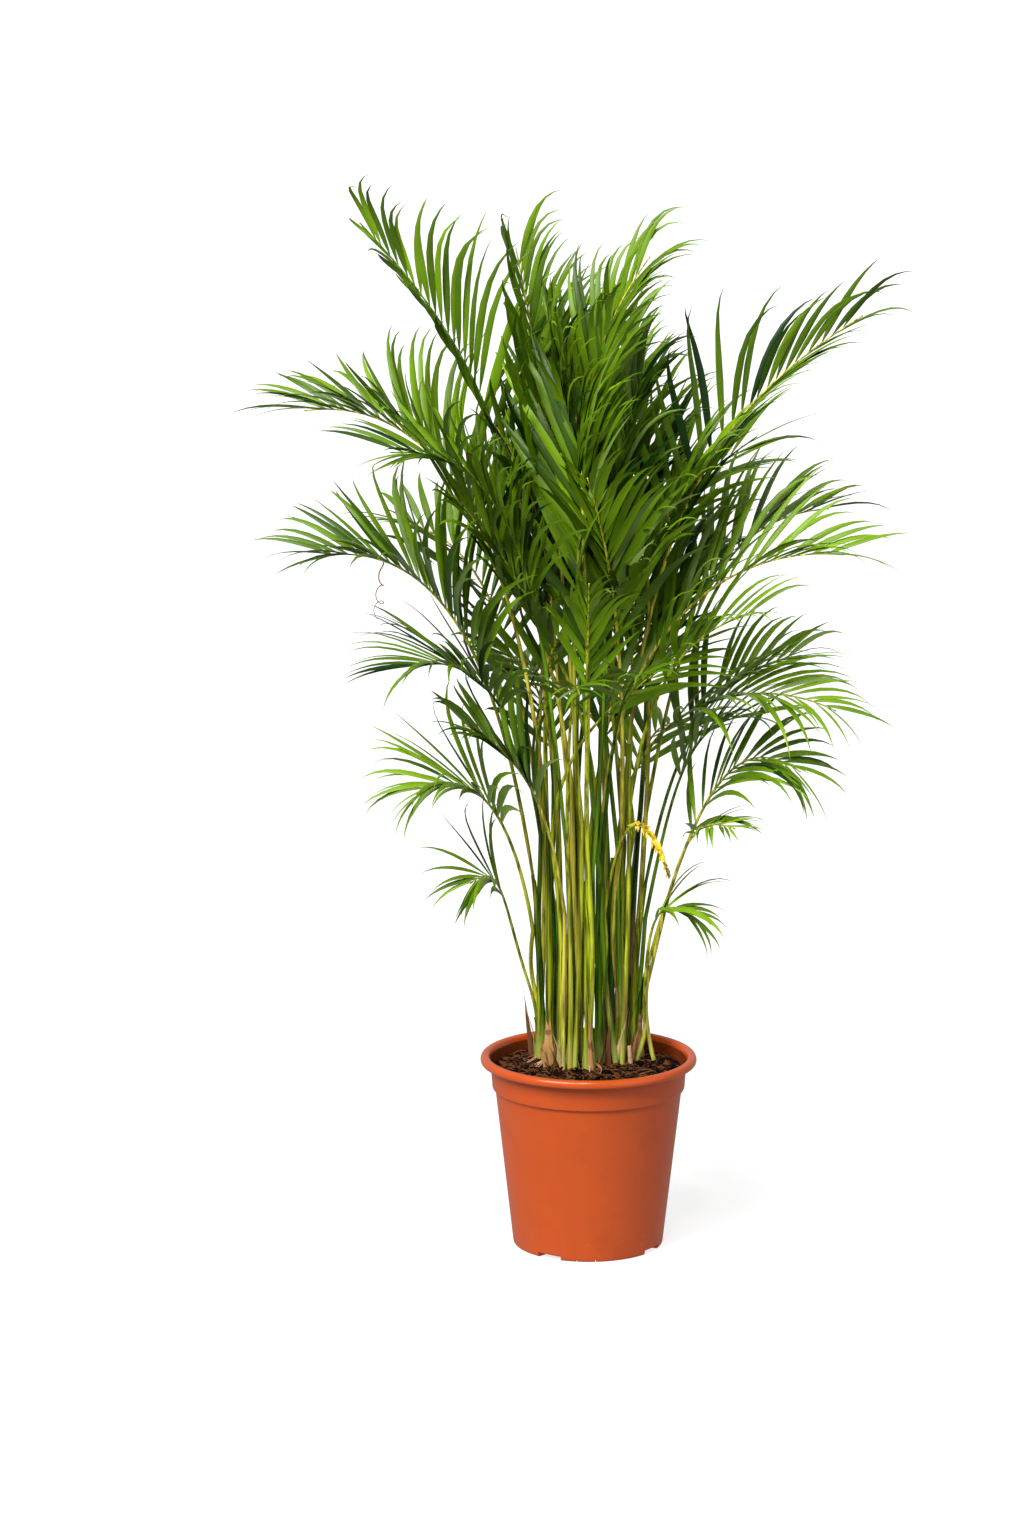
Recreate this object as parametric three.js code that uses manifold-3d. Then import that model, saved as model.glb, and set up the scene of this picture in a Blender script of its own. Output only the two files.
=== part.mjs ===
// Potted clumping palm, about 1.25 m tall: a plastic grower's pot filled with bark mix,
// a clump of slim canes, and upswept feather fronds.
// Units are millimetres, +Z is up, +X is the right side and -Y is the front.
// The origin is the middle of the pot's underside, on the floor.
import * as THREE from 'three';
import { mergeVertices } from 'three/addons/utils/BufferGeometryUtils.js';
import Module from 'manifold-3d';

// Driving dimensions of the pot
const POT_HEIGHT = 229;
const RIM_OUTER_R = 128;
const RIM_INNER_R = 117;
const ROLL_DEPTH = 10;
const BAND_TOP_R = 116;
const BAND_LOW_R = 113.6;
const BAND_DEPTH = 40;
const WALL_TOP_R = 110.2;
const BASE_R = 88.5;
const WALL = 2;
const FLOOR_RISE = 6;
const FOOT_RING_WIDTH = 12;
const BOSS_R = 20;
const NOTCH_COUNT = 4;
const NOTCH_FIRST_DEG = -122;
const NOTCH_WIDTH_DEG = 20;
const NOTCH_HEIGHT = 5.5;
const POT_SIDES = 36;
const EDGE = 2;
const STEP_RISE = 1.5;
const ROLL_SHOULDER = 3.5;
const ROLL_CROWN = 1.5;
const LIP_INSIDE = 3;
const FLARE_DEPTH = 6;
const STEP_Z = POT_HEIGHT - BAND_DEPTH;
const LIP_Z = POT_HEIGHT - ROLL_DEPTH;

// Driving dimensions of the filling
const SOIL_TOP = 216;
const SOIL_GUTTER = 5.2;
const SOIL_FLAT_SHARE = 0.88;
const SOIL_SHOULDER = 2.4;
const CLEAR = 0.3;

// Waves of the soil's edge along the wall: count round the pot, phase and height
const SOIL_WAVES = [{ count: 3, phase: 0.7, height: 0.75 }, { count: 7, phase: 2.1, height: 0.48 }];

// Canes: foot and top on the clump's plan, height of the top, radius at the foot
const CANES = [
  { foot: [-59, 42], top: [-67, 46, 292], r: 4.6 },
  { foot: [-46, 8], top: [-55, 6, 560], r: 6.0 },
  { foot: [-34, 32], top: [-43, 36, 610], r: 5.0 },
  { foot: [-20, -5], top: [-27, -18, 480], r: 5.0 },
  { foot: [-12, 18], top: [-18, 14, 640], r: 5.4 },
  { foot: [0, -14], top: [-4, -30, 560], r: 5.6 },
  { foot: [14, 46], top: [15, 58, 660], r: 5.0 },
  { foot: [13, 10], top: [16, 8, 520], r: 5.2 },
  { foot: [27, 62], top: [36, 78, 480], r: 4.6 },
  { foot: [37, 16], top: [46, 12, 600], r: 5.4 },
  { foot: [53, 56], top: [68, 64, 420], r: 4.8 },
  { foot: [60, 30], top: [70, 28, 330], r: 4.8 },
  { foot: [-38, 64], top: [-52, 86, 520], r: 5.0 },
  { foot: [-12, 76], top: [-16, 102, 590], r: 5.2 },
  { foot: [22, 88], top: [30, 118, 440], r: 4.6 },
  { foot: [-12, 48], top: [-15, 58, 380], r: 4.6 },
  { foot: [48, 84], top: [66, 112, 540], r: 5.0 },
  { foot: [-57, 22], top: [-66, 26, 440], r: 4.8 },
];
const CANE_TOP_SHARE = 0.72;
const CANE_SIDES = 8;
const CANE_SPANS = 4;
const CANE_BOW = 4;
const CLUMP_Y = 30;
const CROWN_Y = 25;

// Fronds that make the outline: the cane (from 1), the height along it (1 is its tip),
// the tip of the rib, the slope there in degrees, leaflet pairs, longest leaflet,
// lift of the leaflets above the frond, the bare share of the rib and, on the low ones,
// how far the rib follows its cane before it bends away
const FRONDS = [
  { cane: 3, at: 1, tip: [-266, 60, 1202], slope: 46, pairs: 13, leaf: 176, lift: 42, bare: 0.46 },
  { cane: 5, at: 1, tip: [-86, 30, 1176], slope: 78, pairs: 12, leaf: 200, lift: 32, bare: 0.34 },
  { cane: 6, at: 1, tip: [66, -40, 1172], slope: 54, pairs: 13, leaf: 188, lift: 26, bare: 0.36 },
  { cane: 10, at: 1, tip: [312, 10, 1100], slope: 32, pairs: 14, leaf: 182, lift: 46, bare: 0.28 },
  { cane: 2, at: 1, tip: [-330, 30, 988], slope: -8, pairs: 14, leaf: 185, lift: 38, bare: 0.34 },
  { cane: 4, at: 1, tip: [-228, -110, 958], slope: 0, pairs: 11, leaf: 170, lift: 20, bare: 0.42 },
  { cane: 18, at: 1, tip: [-312, -30, 828], slope: -6, pairs: 13, leaf: 178, lift: 36, bare: 0.4 },
  { cane: 2, at: 0.8, tip: [-206, -80, 706], slope: -12, pairs: 9, leaf: 145, lift: 14, bare: 0.45 },
  { cane: 4, at: 0.7, tip: [-146, -70, 636], slope: 28, pairs: 7, leaf: 128, lift: 26, bare: 0.42 },
  {
    cane: 18, at: 0.7, tip: [-196, -30, 552], slope: -22, pairs: 9, leaf: 138, lift: 20, bare: 0.4, pull: 0.6,
  },
  {
    cane: 1, at: 1, tip: [-140, 10, 432], slope: -34, pairs: 7, leaf: 104, lift: 8, bare: 0.48, pull: 0.66,
  },
  { cane: 8, at: 1, tip: [290, -50, 832], slope: -4, pairs: 13, leaf: 172, lift: 38, bare: 0.36 },
  { cane: 7, at: 1, tip: [196, 90, 950], slope: 34, pairs: 11, leaf: 165, lift: 34, bare: 0.34 },
  { cane: 11, at: 1, tip: [250, 70, 694], slope: 8, pairs: 11, leaf: 145, lift: 28, bare: 0.36 },
  { cane: 9, at: 1, tip: [284, -40, 648], slope: -22, pairs: 12, leaf: 145, lift: 18, bare: 0.36 },
  {
    cane: 12, at: 1, tip: [246, -10, 570], slope: -34, pairs: 10, leaf: 138, lift: 10, bare: 0.32, pull: 0.66,
  },
  {
    cane: 12, at: 0.8, tip: [166, -90, 520], slope: -6, pairs: 5, leaf: 72, lift: 10, bare: 0.64, pull: 0.6,
  },
  {
    cane: 12, at: 0.5, tip: [124, -12, 400], slope: -38, pairs: 7, leaf: 104, lift: 6, bare: 0.48, pull: 0.8,
  },
  { cane: 6, at: 0.8, tip: [-4, -170, 818], slope: 50, pairs: 9, leaf: 120, lift: 22, bare: 0.48 },
  { cane: 4, at: 0.85, tip: [-14, -168, 690], slope: -18, pairs: 7, leaf: 95, lift: 16, bare: 0.6 },
  { cane: 8, at: 0.85, tip: [66, -160, 712], slope: 4, pairs: 7, leaf: 100, lift: 18, bare: 0.55 },
  { cane: 11, at: 0.8, tip: [200, -20, 636], slope: -4, pairs: 9, leaf: 130, lift: 20, bare: 0.42 },
  { cane: 10, at: 0.8, tip: [190, -90, 772], slope: 16, pairs: 10, leaf: 145, lift: 30, bare: 0.4 },
];

// Wilted frond that hangs over the front of the clump
const YELLOW_FROND = {
  cane: 8, at: 0.66, tip: [92, -50, 452], slope: -50, pairs: 4, leaf: 44, lift: 6, bare: 0.4, pull: 1.75,
};

// Fronds of the back and the front, dealt round by a rule: canes that carry them,
// middle bearing and spread in degrees, and for each tier how close to the middle it gathers
// and the reach, height and slope of its tips
const BACK = {
  canes: [17, 11, 15, 17, 14, 16, 13, 13],
  middle: 90,
  spread: 150,
  tiers: [
    { gather: 1, reach: 305, height: 830, slope: 2, pairs: 12, leaf: 165, lift: 32, bare: 0.38 },
    { gather: 0.3, reach: 205, height: 1090, slope: 46, pairs: 12, leaf: 182, lift: 36, bare: 0.34 },
    { gather: 0.9, reach: 235, height: 620, slope: -10, pairs: 9, leaf: 135, lift: 22, bare: 0.46 },
  ],
};
const FRONT = {
  canes: [5, 6, 10, 8, 7],
  middle: -94,
  spread: 140,
  tiers: [
    { gather: 1, reach: 180, height: 950, slope: 46, pairs: 10, leaf: 165, lift: 24, bare: 0.42 },
    { gather: 0.8, reach: 92, height: 1080, slope: 64, pairs: 11, leaf: 178, lift: 26, bare: 0.38 },
  ],
};

// Rib and leaflets
const RIB_FOOT_R = 3.4;
const RIB_TIP_R = 1.3;
const BARE_SPANS = 4;
const ROOT_SPAN = 9;
const START_PULL = 0.5;
const END_PULL = 0.34;
const START_LEAN = 3;
const TIP_GAP = 0.9;
const SIDE_GAP = 0.4;
const WIDEST = 0.36;
const LEAF_WIDTH = 24;
const LEAF_THICK = 0.016;
const ANGLE_FOOT = 58;
const ANGLE_TIP = 16;
const SIDE_STEPS = [0, 7, -7, 14, -14, 22, -22, 32, -32, 44, -44, 58, -58];
const START_DROPS = [0, 0.07, 0.14, 0.21];
const LAST_PAIR = 0.97;
const LONGEST_SPAN = 130;
const LEAF_TRIES = [[0, 1], [9, 1], [-9, 1], [0, 0.8], [9, 0.8], [-9, 0.8], [0, 0.6]];
const ANGLE_EASE = 0.8;
const SHORT_SHARE = 0.72;
const SWELL_START = 0.2;
const SWELL_RATE = 1.1;
const END_SHORTER = 0.16;
const PITCH_FILL = 0.72;
const WIDTH_SHARE = 0.2;
const DROOP_LEAST = 0.05;
const DROOP_MOST = 0.48;
const DROOP_PER_LIFT = 0.0075;
const SIDE_LEAN = 3;

// Play of the dealt fronds: bearing in degrees, share of the reach, height, and the start on the cane
const SWING_DEG = 10;
const REACH_PLAY = 0.2;
const HEIGHT_PLAY = 90;
const START_HIGH = 0.9;
const START_PLAY = 0.22;
const GOLDEN = 0.6180339887498949;

// Dead parts at the foot of the clump: foot, top, and the radius at foot, middle and top
const DEAD_PARTS = {
  cut_stub: { foot: [46, 38], top: [40, 35, 246], radii: [3.8, 3.4, 3.0], color: 'tan' },
  dead_sheath: { foot: [26, 34], top: [36, 37, 288], radii: [6.0, 7.0, 2.4], color: 'tan' },
  tan_shoot: { foot: [-31, -21], top: [-43, -24, 268], radii: [4.6, 3.8, 1.4], color: 'brown' },
};
const DEAD_SPANS = 4;

const COLOURS = {
  pot: 0xc4562a,
  soil: 0x3b2416,
  cane: 0x86a52c,
  frond: 0x4f8a1c,
  tan: 0xc2a26a,
  brown: 0x7a4a2c,
  yellow: 0xd9ac1e,
};

const wasm = await Module();
wasm.setup();

const UP = new THREE.Vector3(0, 0, 1);
const plant = new THREE.Group();

const material = (color, roughness) => new THREE.MeshStandardMaterial({ color, roughness, metalness: 0 });
const lerp = THREE.MathUtils.lerp;
const rad = THREE.MathUtils.degToRad;
const fraction = (value) => value - Math.floor(value);
const spin = (count, salt) => fraction(count * GOLDEN + salt);

function addPart(name, geometry, color, roughness) {
  const mesh = new THREE.Mesh(geometry, material(color, roughness));
  mesh.name = name;
  plant.add(mesh);
  return mesh;
}

// Closed surface gathered vertex by vertex
class Surface {
  constructor() {
    this.points = [];
    this.faces = [];
  }
  point(v) {
    this.points.push(v.x, v.y, v.z);
    return this.points.length / 3 - 1;
  }
  face(a, b, c) {
    this.faces.push(a, b, c);
  }
  strip(lower, upper) {
    const n = lower.length;
    for (let i = 0; i < n; i += 1) {
      const j = (i + 1) % n;
      this.face(lower[i], lower[j], upper[j]);
      this.face(lower[i], upper[j], upper[i]);
    }
  }
  fan(ring, apex) {
    ring.forEach((a, i) => this.face(a, ring[(i + 1) % ring.length], apex));
  }
  geometry() {
    const geometry = new THREE.BufferGeometry();
    geometry.setAttribute('position', new THREE.Float32BufferAttribute(this.points, 3));
    geometry.setIndex(this.faces);
    return geometry;
  }
}

function toSolid(geometry) {
  geometry.deleteAttribute('normal');
  geometry.deleteAttribute('uv');
  const merged = mergeVertices(geometry, 1e-4);
  const vertProperties = new Float32Array(merged.attributes.position.array);
  const triVerts = new Uint32Array(merged.index.array);
  return new wasm.Manifold(new wasm.Mesh({ numProp: 3, vertProperties, triVerts }));
}

function toGeometry(solid) {
  const mesh = solid.getMesh();
  const geometry = new THREE.BufferGeometry();
  geometry.setAttribute('position', new THREE.Float32BufferAttribute(mesh.vertProperties, 3));
  geometry.setIndex(Array.from(mesh.triVerts));
  return geometry;
}

// Inner radius of the pot at a height: straight taper, then the step out to the band
function innerRadius(z) {
  if (z > STEP_Z + STEP_RISE) {
    return lerp(BAND_LOW_R, BAND_TOP_R, (z - STEP_Z) / BAND_DEPTH) - WALL;
  }
  return lerp(BASE_R, WALL_TOP_R, z / STEP_Z) - WALL;
}

// Half outline: pad, foot ring, wall, band and rolled rim, then down the inside to the floor
function potProfile() {
  const ringR = BASE_R - FOOT_RING_WIDTH;
  const floorZ = FLOOR_RISE + WALL;
  return [
    [0, 0], [BOSS_R, 0], [BOSS_R + EDGE, FLOOR_RISE], [ringR - EDGE, FLOOR_RISE],
    [ringR, 0], [BASE_R, 0], [WALL_TOP_R, STEP_Z], [BAND_LOW_R, STEP_Z + STEP_RISE],
    [BAND_TOP_R, LIP_Z], [RIM_OUTER_R - EDGE, LIP_Z], [RIM_OUTER_R, LIP_Z + ROLL_SHOULDER],
    [RIM_OUTER_R - ROLL_CROWN, POT_HEIGHT - EDGE], [(RIM_OUTER_R + RIM_INNER_R) / 2, POT_HEIGHT],
    [RIM_INNER_R, POT_HEIGHT - LIP_INSIDE], [innerRadius(LIP_Z), LIP_Z - FLARE_DEPTH],
    [innerRadius(STEP_Z + EDGE), STEP_Z + EDGE], [innerRadius(STEP_Z), STEP_Z - WALL / 2],
    [innerRadius(floorZ), floorZ], [0, floorZ],
  ];
}

function potGeometry() {
  const profile = potProfile().map(([r, z]) => new THREE.Vector2(r, z));
  const lathe = new THREE.LatheGeometry(profile, POT_SIDES);
  lathe.rotateX(Math.PI / 2);
  let pot = toSolid(lathe);
  const chord = 2 * BASE_R * Math.sin(rad(NOTCH_WIDTH_DEG) / 2);
  for (let i = 0; i < NOTCH_COUNT; i += 1) {
    const notch = new THREE.BoxGeometry(FOOT_RING_WIDTH * 2, chord, NOTCH_HEIGHT * 2);
    notch.translate(BASE_R - FOOT_RING_WIDTH / 2, 0, 0);
    notch.rotateZ(rad(NOTCH_FIRST_DEG + (i * 360) / NOTCH_COUNT));
    pot = pot.subtract(toSolid(notch));
  }
  return toGeometry(pot);
}

// Height of the soil where it meets the wall: a shallow gutter with waves
const soilEdge = (angle) => SOIL_WAVES.reduce(
  (height, wave) => height + wave.height * Math.sin(wave.count * angle + wave.phase),
  SOIL_TOP - SOIL_GUTTER,
);

function soilGeometry() {
  const surface = new Surface();
  const floorZ = FLOOR_RISE + WALL + CLEAR;
  const wallR = (z) => innerRadius(z) - CLEAR;
  const neckR = wallR(STEP_Z - WALL / 2);
  const edgeR = wallR(SOIL_TOP - SOIL_GUTTER - EDGE);
  const level = (z) => () => z;
  const rings = [
    [wallR(floorZ), level(floorZ)], [neckR, level(STEP_Z - WALL / 2)],
    [neckR, level(STEP_Z + SOIL_SHOULDER)], [edgeR, soilEdge],
    [edgeR * SOIL_FLAT_SHARE, level(SOIL_TOP)],
  ];
  const indices = rings.map(([r, heightAt]) => Array.from({ length: POT_SIDES }, (_, i) => {
    const angle = (i / POT_SIDES) * 2 * Math.PI;
    return surface.point(new THREE.Vector3(Math.sin(angle) * r, Math.cos(angle) * r, heightAt(angle)));
  }).reverse());
  const low = surface.point(new THREE.Vector3(0, 0, floorZ));
  const high = surface.point(new THREE.Vector3(0, 0, SOIL_TOP));
  surface.fan([...indices[0]].reverse(), low);
  for (let i = 1; i < rings.length; i += 1) surface.strip(indices[i - 1], indices[i]);
  surface.fan(indices[rings.length - 1], high);
  return surface.geometry();
}

// Point on a cane: a straight lean with a slight bow, t from foot to top
function canePoint(cane, t) {
  const foot = new THREE.Vector3(cane.foot[0], cane.foot[1], SOIL_TOP + CLEAR);
  const top = new THREE.Vector3(...cane.top);
  const bow = new THREE.Vector3(cane.foot[0], cane.foot[1] - CLUMP_Y, 0).normalize();
  return foot.lerp(top, t).addScaledVector(bow, CANE_BOW * 4 * t * (t - 1));
}

const caneRadius = (cane, t) => cane.r * lerp(1, CANE_TOP_SHARE, t);

function tubeGeometry(pointAt, radiusAt, sides, spans) {
  const surface = new Surface();
  const rings = [];
  for (let i = 0; i <= spans; i += 1) {
    const centre = pointAt(i / spans);
    const radius = radiusAt(i / spans);
    rings.push(Array.from({ length: sides }, (_, k) => {
      const angle = (k / sides) * 2 * Math.PI;
      return surface.point(new THREE.Vector3(
        centre.x + Math.cos(angle) * radius,
        centre.y + Math.sin(angle) * radius,
        centre.z,
      ));
    }));
  }
  for (let i = 0; i < spans; i += 1) surface.strip(rings[i], rings[i + 1]);
  surface.fan([...rings[0]].reverse(), surface.point(pointAt(0)));
  surface.fan(rings[spans], surface.point(pointAt(1)));
  return surface.geometry();
}

// Centre line of a rib: a cubic curve that leaves its cane almost along it
// and ends at the tip with the frond's own slope; side bends it sideways
function ribCurve(frond, side) {
  const cane = CANES[frond.cane - 1];
  const tip = new THREE.Vector3(...frond.tip);
  const base = canePoint(cane, frond.at);
  const along = canePoint(cane, frond.at).sub(canePoint(cane, frond.at - 0.1)).normalize();
  const out = new THREE.Vector3(tip.x - base.x, tip.y - base.y, 0).normalize();
  const across = new THREE.Vector3().crossVectors(out, UP);
  const fromTip = frond.at === 1;
  const offset = caneRadius(cane, frond.at) + 0.5 * RIB_FOOT_R + SIDE_GAP;
  const start = fromTip
    ? base.clone().addScaledVector(along, TIP_GAP)
    : base.clone().addScaledVector(out, offset);
  const lean = rad(fromTip ? START_LEAN : START_LEAN + SIDE_LEAN);
  const leave = along.multiplyScalar(Math.cos(lean)).addScaledVector(out, Math.sin(lean));
  const slope = rad(frond.slope);
  const arrive = out.clone().multiplyScalar(Math.cos(slope)).addScaledVector(UP, Math.sin(slope));
  const length = start.distanceTo(tip);
  const pull = (frond.pull ?? START_PULL) * length;
  const first = start.clone().addScaledVector(leave, pull).addScaledVector(across, side);
  const second = tip.clone().addScaledVector(arrive, -END_PULL * length).addScaledVector(across, side);
  const curve = new THREE.CubicBezierCurve3(start, first, second, tip);
  return { curve, across, length: curve.getLength() };
}

const ribRadius = (t) => lerp(RIB_FOOT_R, RIB_TIP_R, Math.sqrt(t));

// Shortest distance between two straight pieces p1-q1 and p2-q2
function gapBetween(p1, q1, p2, q2) {
  const d1 = q1.clone().sub(p1);
  const d2 = q2.clone().sub(p2);
  const r = p1.clone().sub(p2);
  const a = d1.dot(d1);
  const e = d2.dot(d2);
  const b = d1.dot(d2);
  const c = d1.dot(r);
  const f = d2.dot(r);
  const denominator = a * e - b * b;
  let s = denominator > 1e-9 ? THREE.MathUtils.clamp((b * f - c * e) / denominator, 0, 1) : 0;
  const t = THREE.MathUtils.clamp((b * s + f) / e, 0, 1);
  s = THREE.MathUtils.clamp((b * t - c) / a, 0, 1);
  return p1.clone().addScaledVector(d1, s).distanceTo(p2.clone().addScaledVector(d2, t));
}

const lineOf = (pointAt, radiusAt, stations) => ({
  points: stations.map(pointAt),
  radii: stations.map(radiusAt),
});
const evenStations = (spans) => Array.from({ length: spans + 1 }, (_, i) => i / spans);

// Share of the rib at leaflet pair i, and all the shares where the rib has a section
const pairShare = (frond, i) => lerp(frond.bare, LAST_PAIR, (i + 0.5) / frond.pairs);

function ribStations(frond, length) {
  const half = ROOT_SPAN / 2 / length;
  const first = pairShare(frond, 0) - half;
  const stations = evenStations(BARE_SPANS).slice(0, -1).map((share) => share * first);
  for (let i = 0; i < frond.pairs; i += 1) {
    stations.push(pairShare(frond, i) - half, pairShare(frond, i) + half);
  }
  return [...stations, 1];
}

function linesClash(one, two) {
  for (let i = 1; i < one.points.length; i += 1) {
    for (let j = 1; j < two.points.length; j += 1) {
      const need = one.radii[i - 1] + two.radii[j - 1] + 2 * CLEAR;
      const near = one.points[i].distanceTo(two.points[j]) < 2 * LONGEST_SPAN;
      if (near && gapBetween(one.points[i - 1], one.points[i], two.points[j - 1], two.points[j]) < need) {
        return true;
      }
    }
  }
  return false;
}

// Fronds of a group dealt evenly round its bearing, with a seeded swing in reach and height
function dealtFronds(group, count, salt) {
  return Array.from({ length: count }, (_, k) => {
    const tier = group.tiers[k % group.tiers.length];
    const swing = SWING_DEG * (spin(k, salt) - 0.5);
    const bearing = rad(group.middle + group.spread * tier.gather * ((k + 0.5) / count - 0.5) + swing);
    const reach = tier.reach * (1 + REACH_PLAY * (spin(k, salt + 0.3) - 0.5));
    const height = tier.height + HEIGHT_PLAY * (spin(k, salt + 0.6) - 0.5);
    const tip = [Math.cos(bearing) * reach, CROWN_Y + Math.sin(bearing) * reach, height];
    return { ...tier, cane: group.canes[k], at: START_HIGH - START_PLAY * spin(k, salt + 0.1), tip };
  });
}

// Direction frame at share t of a rib: along, to the side, and up from the frond
function ribFrame(rib, t) {
  const along = rib.curve.getTangent(t);
  const side = rib.across.clone().addScaledVector(along, -rib.across.dot(along)).normalize();
  const up = new THREE.Vector3().crossVectors(side, along).normalize();
  return { along, side, up };
}

// Leaflet number i of a side (+1 or -1): root span on the rib, direction, length and width
function leafletPlan(rib, frond, i, sign, tilt, scale) {
  const share = (i + 0.5) / frond.pairs;
  const t = pairShare(frond, i);
  const { along, side, up } = ribFrame(rib, t);
  const angle = rad(lerp(ANGLE_FOOT, ANGLE_TIP, share ** ANGLE_EASE) + tilt);
  const lift = rad(frond.lift);
  const direction = along.clone().multiplyScalar(Math.cos(angle))
    .addScaledVector(side, sign * Math.sin(angle) * Math.cos(lift))
    .addScaledVector(up, Math.sin(angle) * Math.sin(lift));
  const swell = lerp(SHORT_SHARE, 1, Math.sin(Math.PI * Math.min(1, SWELL_START + share * SWELL_RATE)));
  const length = frond.leaf * swell * (1 - END_SHORTER * share * share) * scale;
  const pitch = (rib.length * (LAST_PAIR - frond.bare)) / frond.pairs;
  const width = Math.min(LEAF_WIDTH, PITCH_FILL * pitch * Math.sin(angle), length * WIDTH_SHARE);
  const sag = DROOP_MOST - DROOP_PER_LIFT * frond.lift;
  const droop = DROOP_LEAST + sag * Math.hypot(direction.x, direction.y);
  const across = along.clone().addScaledVector(direction, -along.dot(direction)).normalize();
  const top = new THREE.Vector3().crossVectors(across, direction).multiplyScalar(-sign).normalize();
  const root = rib.curve.getPoint(t);
  const spot = (u) => root.clone()
    .addScaledVector(direction, length * u)
    .addScaledVector(UP, -droop * length * u * u);
  return { t, spot, across, top, length, width };
}

// Three-sided rib section: right edge, keel and left edge
function ribSection(rib, t) {
  const { side, up } = ribFrame(rib, t);
  const centre = rib.curve.getPoint(t);
  const radius = ribRadius(t);
  const corner = (degrees) => centre.clone()
    .addScaledVector(side, Math.cos(rad(degrees)) * radius)
    .addScaledVector(up, Math.sin(rad(degrees)) * radius);
  return [30, -90, 150].map(corner);
}

// Corners of the rib face that a leaflet grows from, on the right (1) or left (-1)
const rootFace = (sign, last, next) => (
  sign === 1 ? [last[0], last[1], next[0]] : [last[1], last[2], next[2]]
);
const CORNERS = { 1: ['rear', 'keel', 'front'], '-1': ['keel', 'rear', 'front'] };

// Leaflet from its root face to a keeled section and a tip, fattened by a margin
function growLeaflet(surface, near, plan, sign, margin) {
  const { spot, across, top } = plan;
  const middle = spot(WIDEST);
  const half = plan.width / 2 + margin;
  const depth = plan.length * LEAF_THICK + margin;
  const blade = {
    rear: middle.clone().addScaledVector(across, -half).addScaledVector(top, margin),
    front: middle.clone().addScaledVector(across, half).addScaledVector(top, margin),
    keel: middle.clone().addScaledVector(top, -depth),
  };
  const section = CORNERS[sign].map((corner) => surface.point(blade[corner]));
  surface.strip(near, section);
  surface.fan(section, surface.point(spot(1)));
}

// The leaflet alone, closed, for trying whether its place is free
function leafletProbe(rib, plan, sign, margin) {
  const surface = new Surface();
  const half = ROOT_SPAN / 2 / rib.length;
  const face = rootFace(sign, ribSection(rib, plan.t - half), ribSection(rib, plan.t + half));
  const near = face.map((v) => surface.point(v));
  growLeaflet(surface, near, plan, sign, margin);
  surface.face(near[2], near[1], near[0]);
  return surface;
}

const solidOf = (surface) => toSolid(surface.geometry());
const boxOf = (surface) => new THREE.Box3().setFromArray(surface.points);
const taken = [];

function isFree(surface) {
  const box = boxOf(surface);
  const near = taken.filter((other) => other.box.intersectsBox(box));
  if (near.length === 0) return true;
  const solid = solidOf(surface);
  return !near.some((other) => solid.intersect(other.solid).volume() > 1e-6);
}

// Leaflets of one frond that find room, tried at a few angles and lengths
function chooseLeaflets(rib, frond) {
  const chosen = [];
  for (let i = 0; i < frond.pairs; i += 1) {
    const pair = {};
    for (const sign of [1, -1]) {
      for (const [tilt, scale] of LEAF_TRIES) {
        const plan = leafletPlan(rib, frond, i, sign, tilt, scale);
        if (isFree(leafletProbe(rib, plan, sign, CLEAR))) {
          pair[sign] = plan;
          const surface = leafletProbe(rib, plan, sign, 0);
          taken.push({ box: boxOf(surface), solid: solidOf(surface) });
          break;
        }
      }
    }
    chosen.push(pair);
  }
  return chosen;
}

// Whole frond as one skin: the rib is a three-sided tube, and each leaflet
// grows out of a triangle of the rib's side at its root span
function frondGeometry(rib, frond, pairs) {
  const surface = new Surface();
  const stations = ribStations(frond, rib.length).slice(0, -1);
  const rings = stations.map((t) => ribSection(rib, t).map((v) => surface.point(v)));
  surface.face(rings[0][2], rings[0][1], rings[0][0]);
  rings.slice(1).forEach((next, i) => {
    const last = rings[i];
    const pair = pairs[(i - BARE_SPANS) / 2];
    if (!pair) {
      surface.strip(last, next);
      return;
    }
    surface.face(last[2], last[0], next[0]);
    surface.face(last[2], next[0], next[2]);
    surface.face(last[1], next[1], next[0]);
    surface.face(last[1], next[2], next[1]);
    for (const sign of [1, -1]) {
      const face = rootFace(sign, last, next);
      if (pair[sign]) growLeaflet(surface, face, pair[sign], sign, 0);
      else surface.face(...face);
    }
  });
  surface.fan(rings[rings.length - 1], surface.point(rib.curve.getPoint(1)));
  return surface;
}

// Canes stand in the clump and hold their space first
function buildCanes(lines) {
  CANES.forEach((cane, i) => {
    const pointAt = (t) => canePoint(cane, t);
    const radiusAt = (t) => caneRadius(cane, t);
    const geometry = tubeGeometry(pointAt, radiusAt, CANE_SIDES, CANE_SPANS);
    addPart(`cane_${String(i + 1).padStart(2, '0')}`, geometry, COLOURS.cane, 0.5);
    lines.push(lineOf(pointAt, radiusAt, evenStations(CANE_SPANS)));
    const solid = toSolid(geometry.clone());
    taken.push({ box: new THREE.Box3().setFromBufferAttribute(geometry.attributes.position), solid });
  });
}

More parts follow.
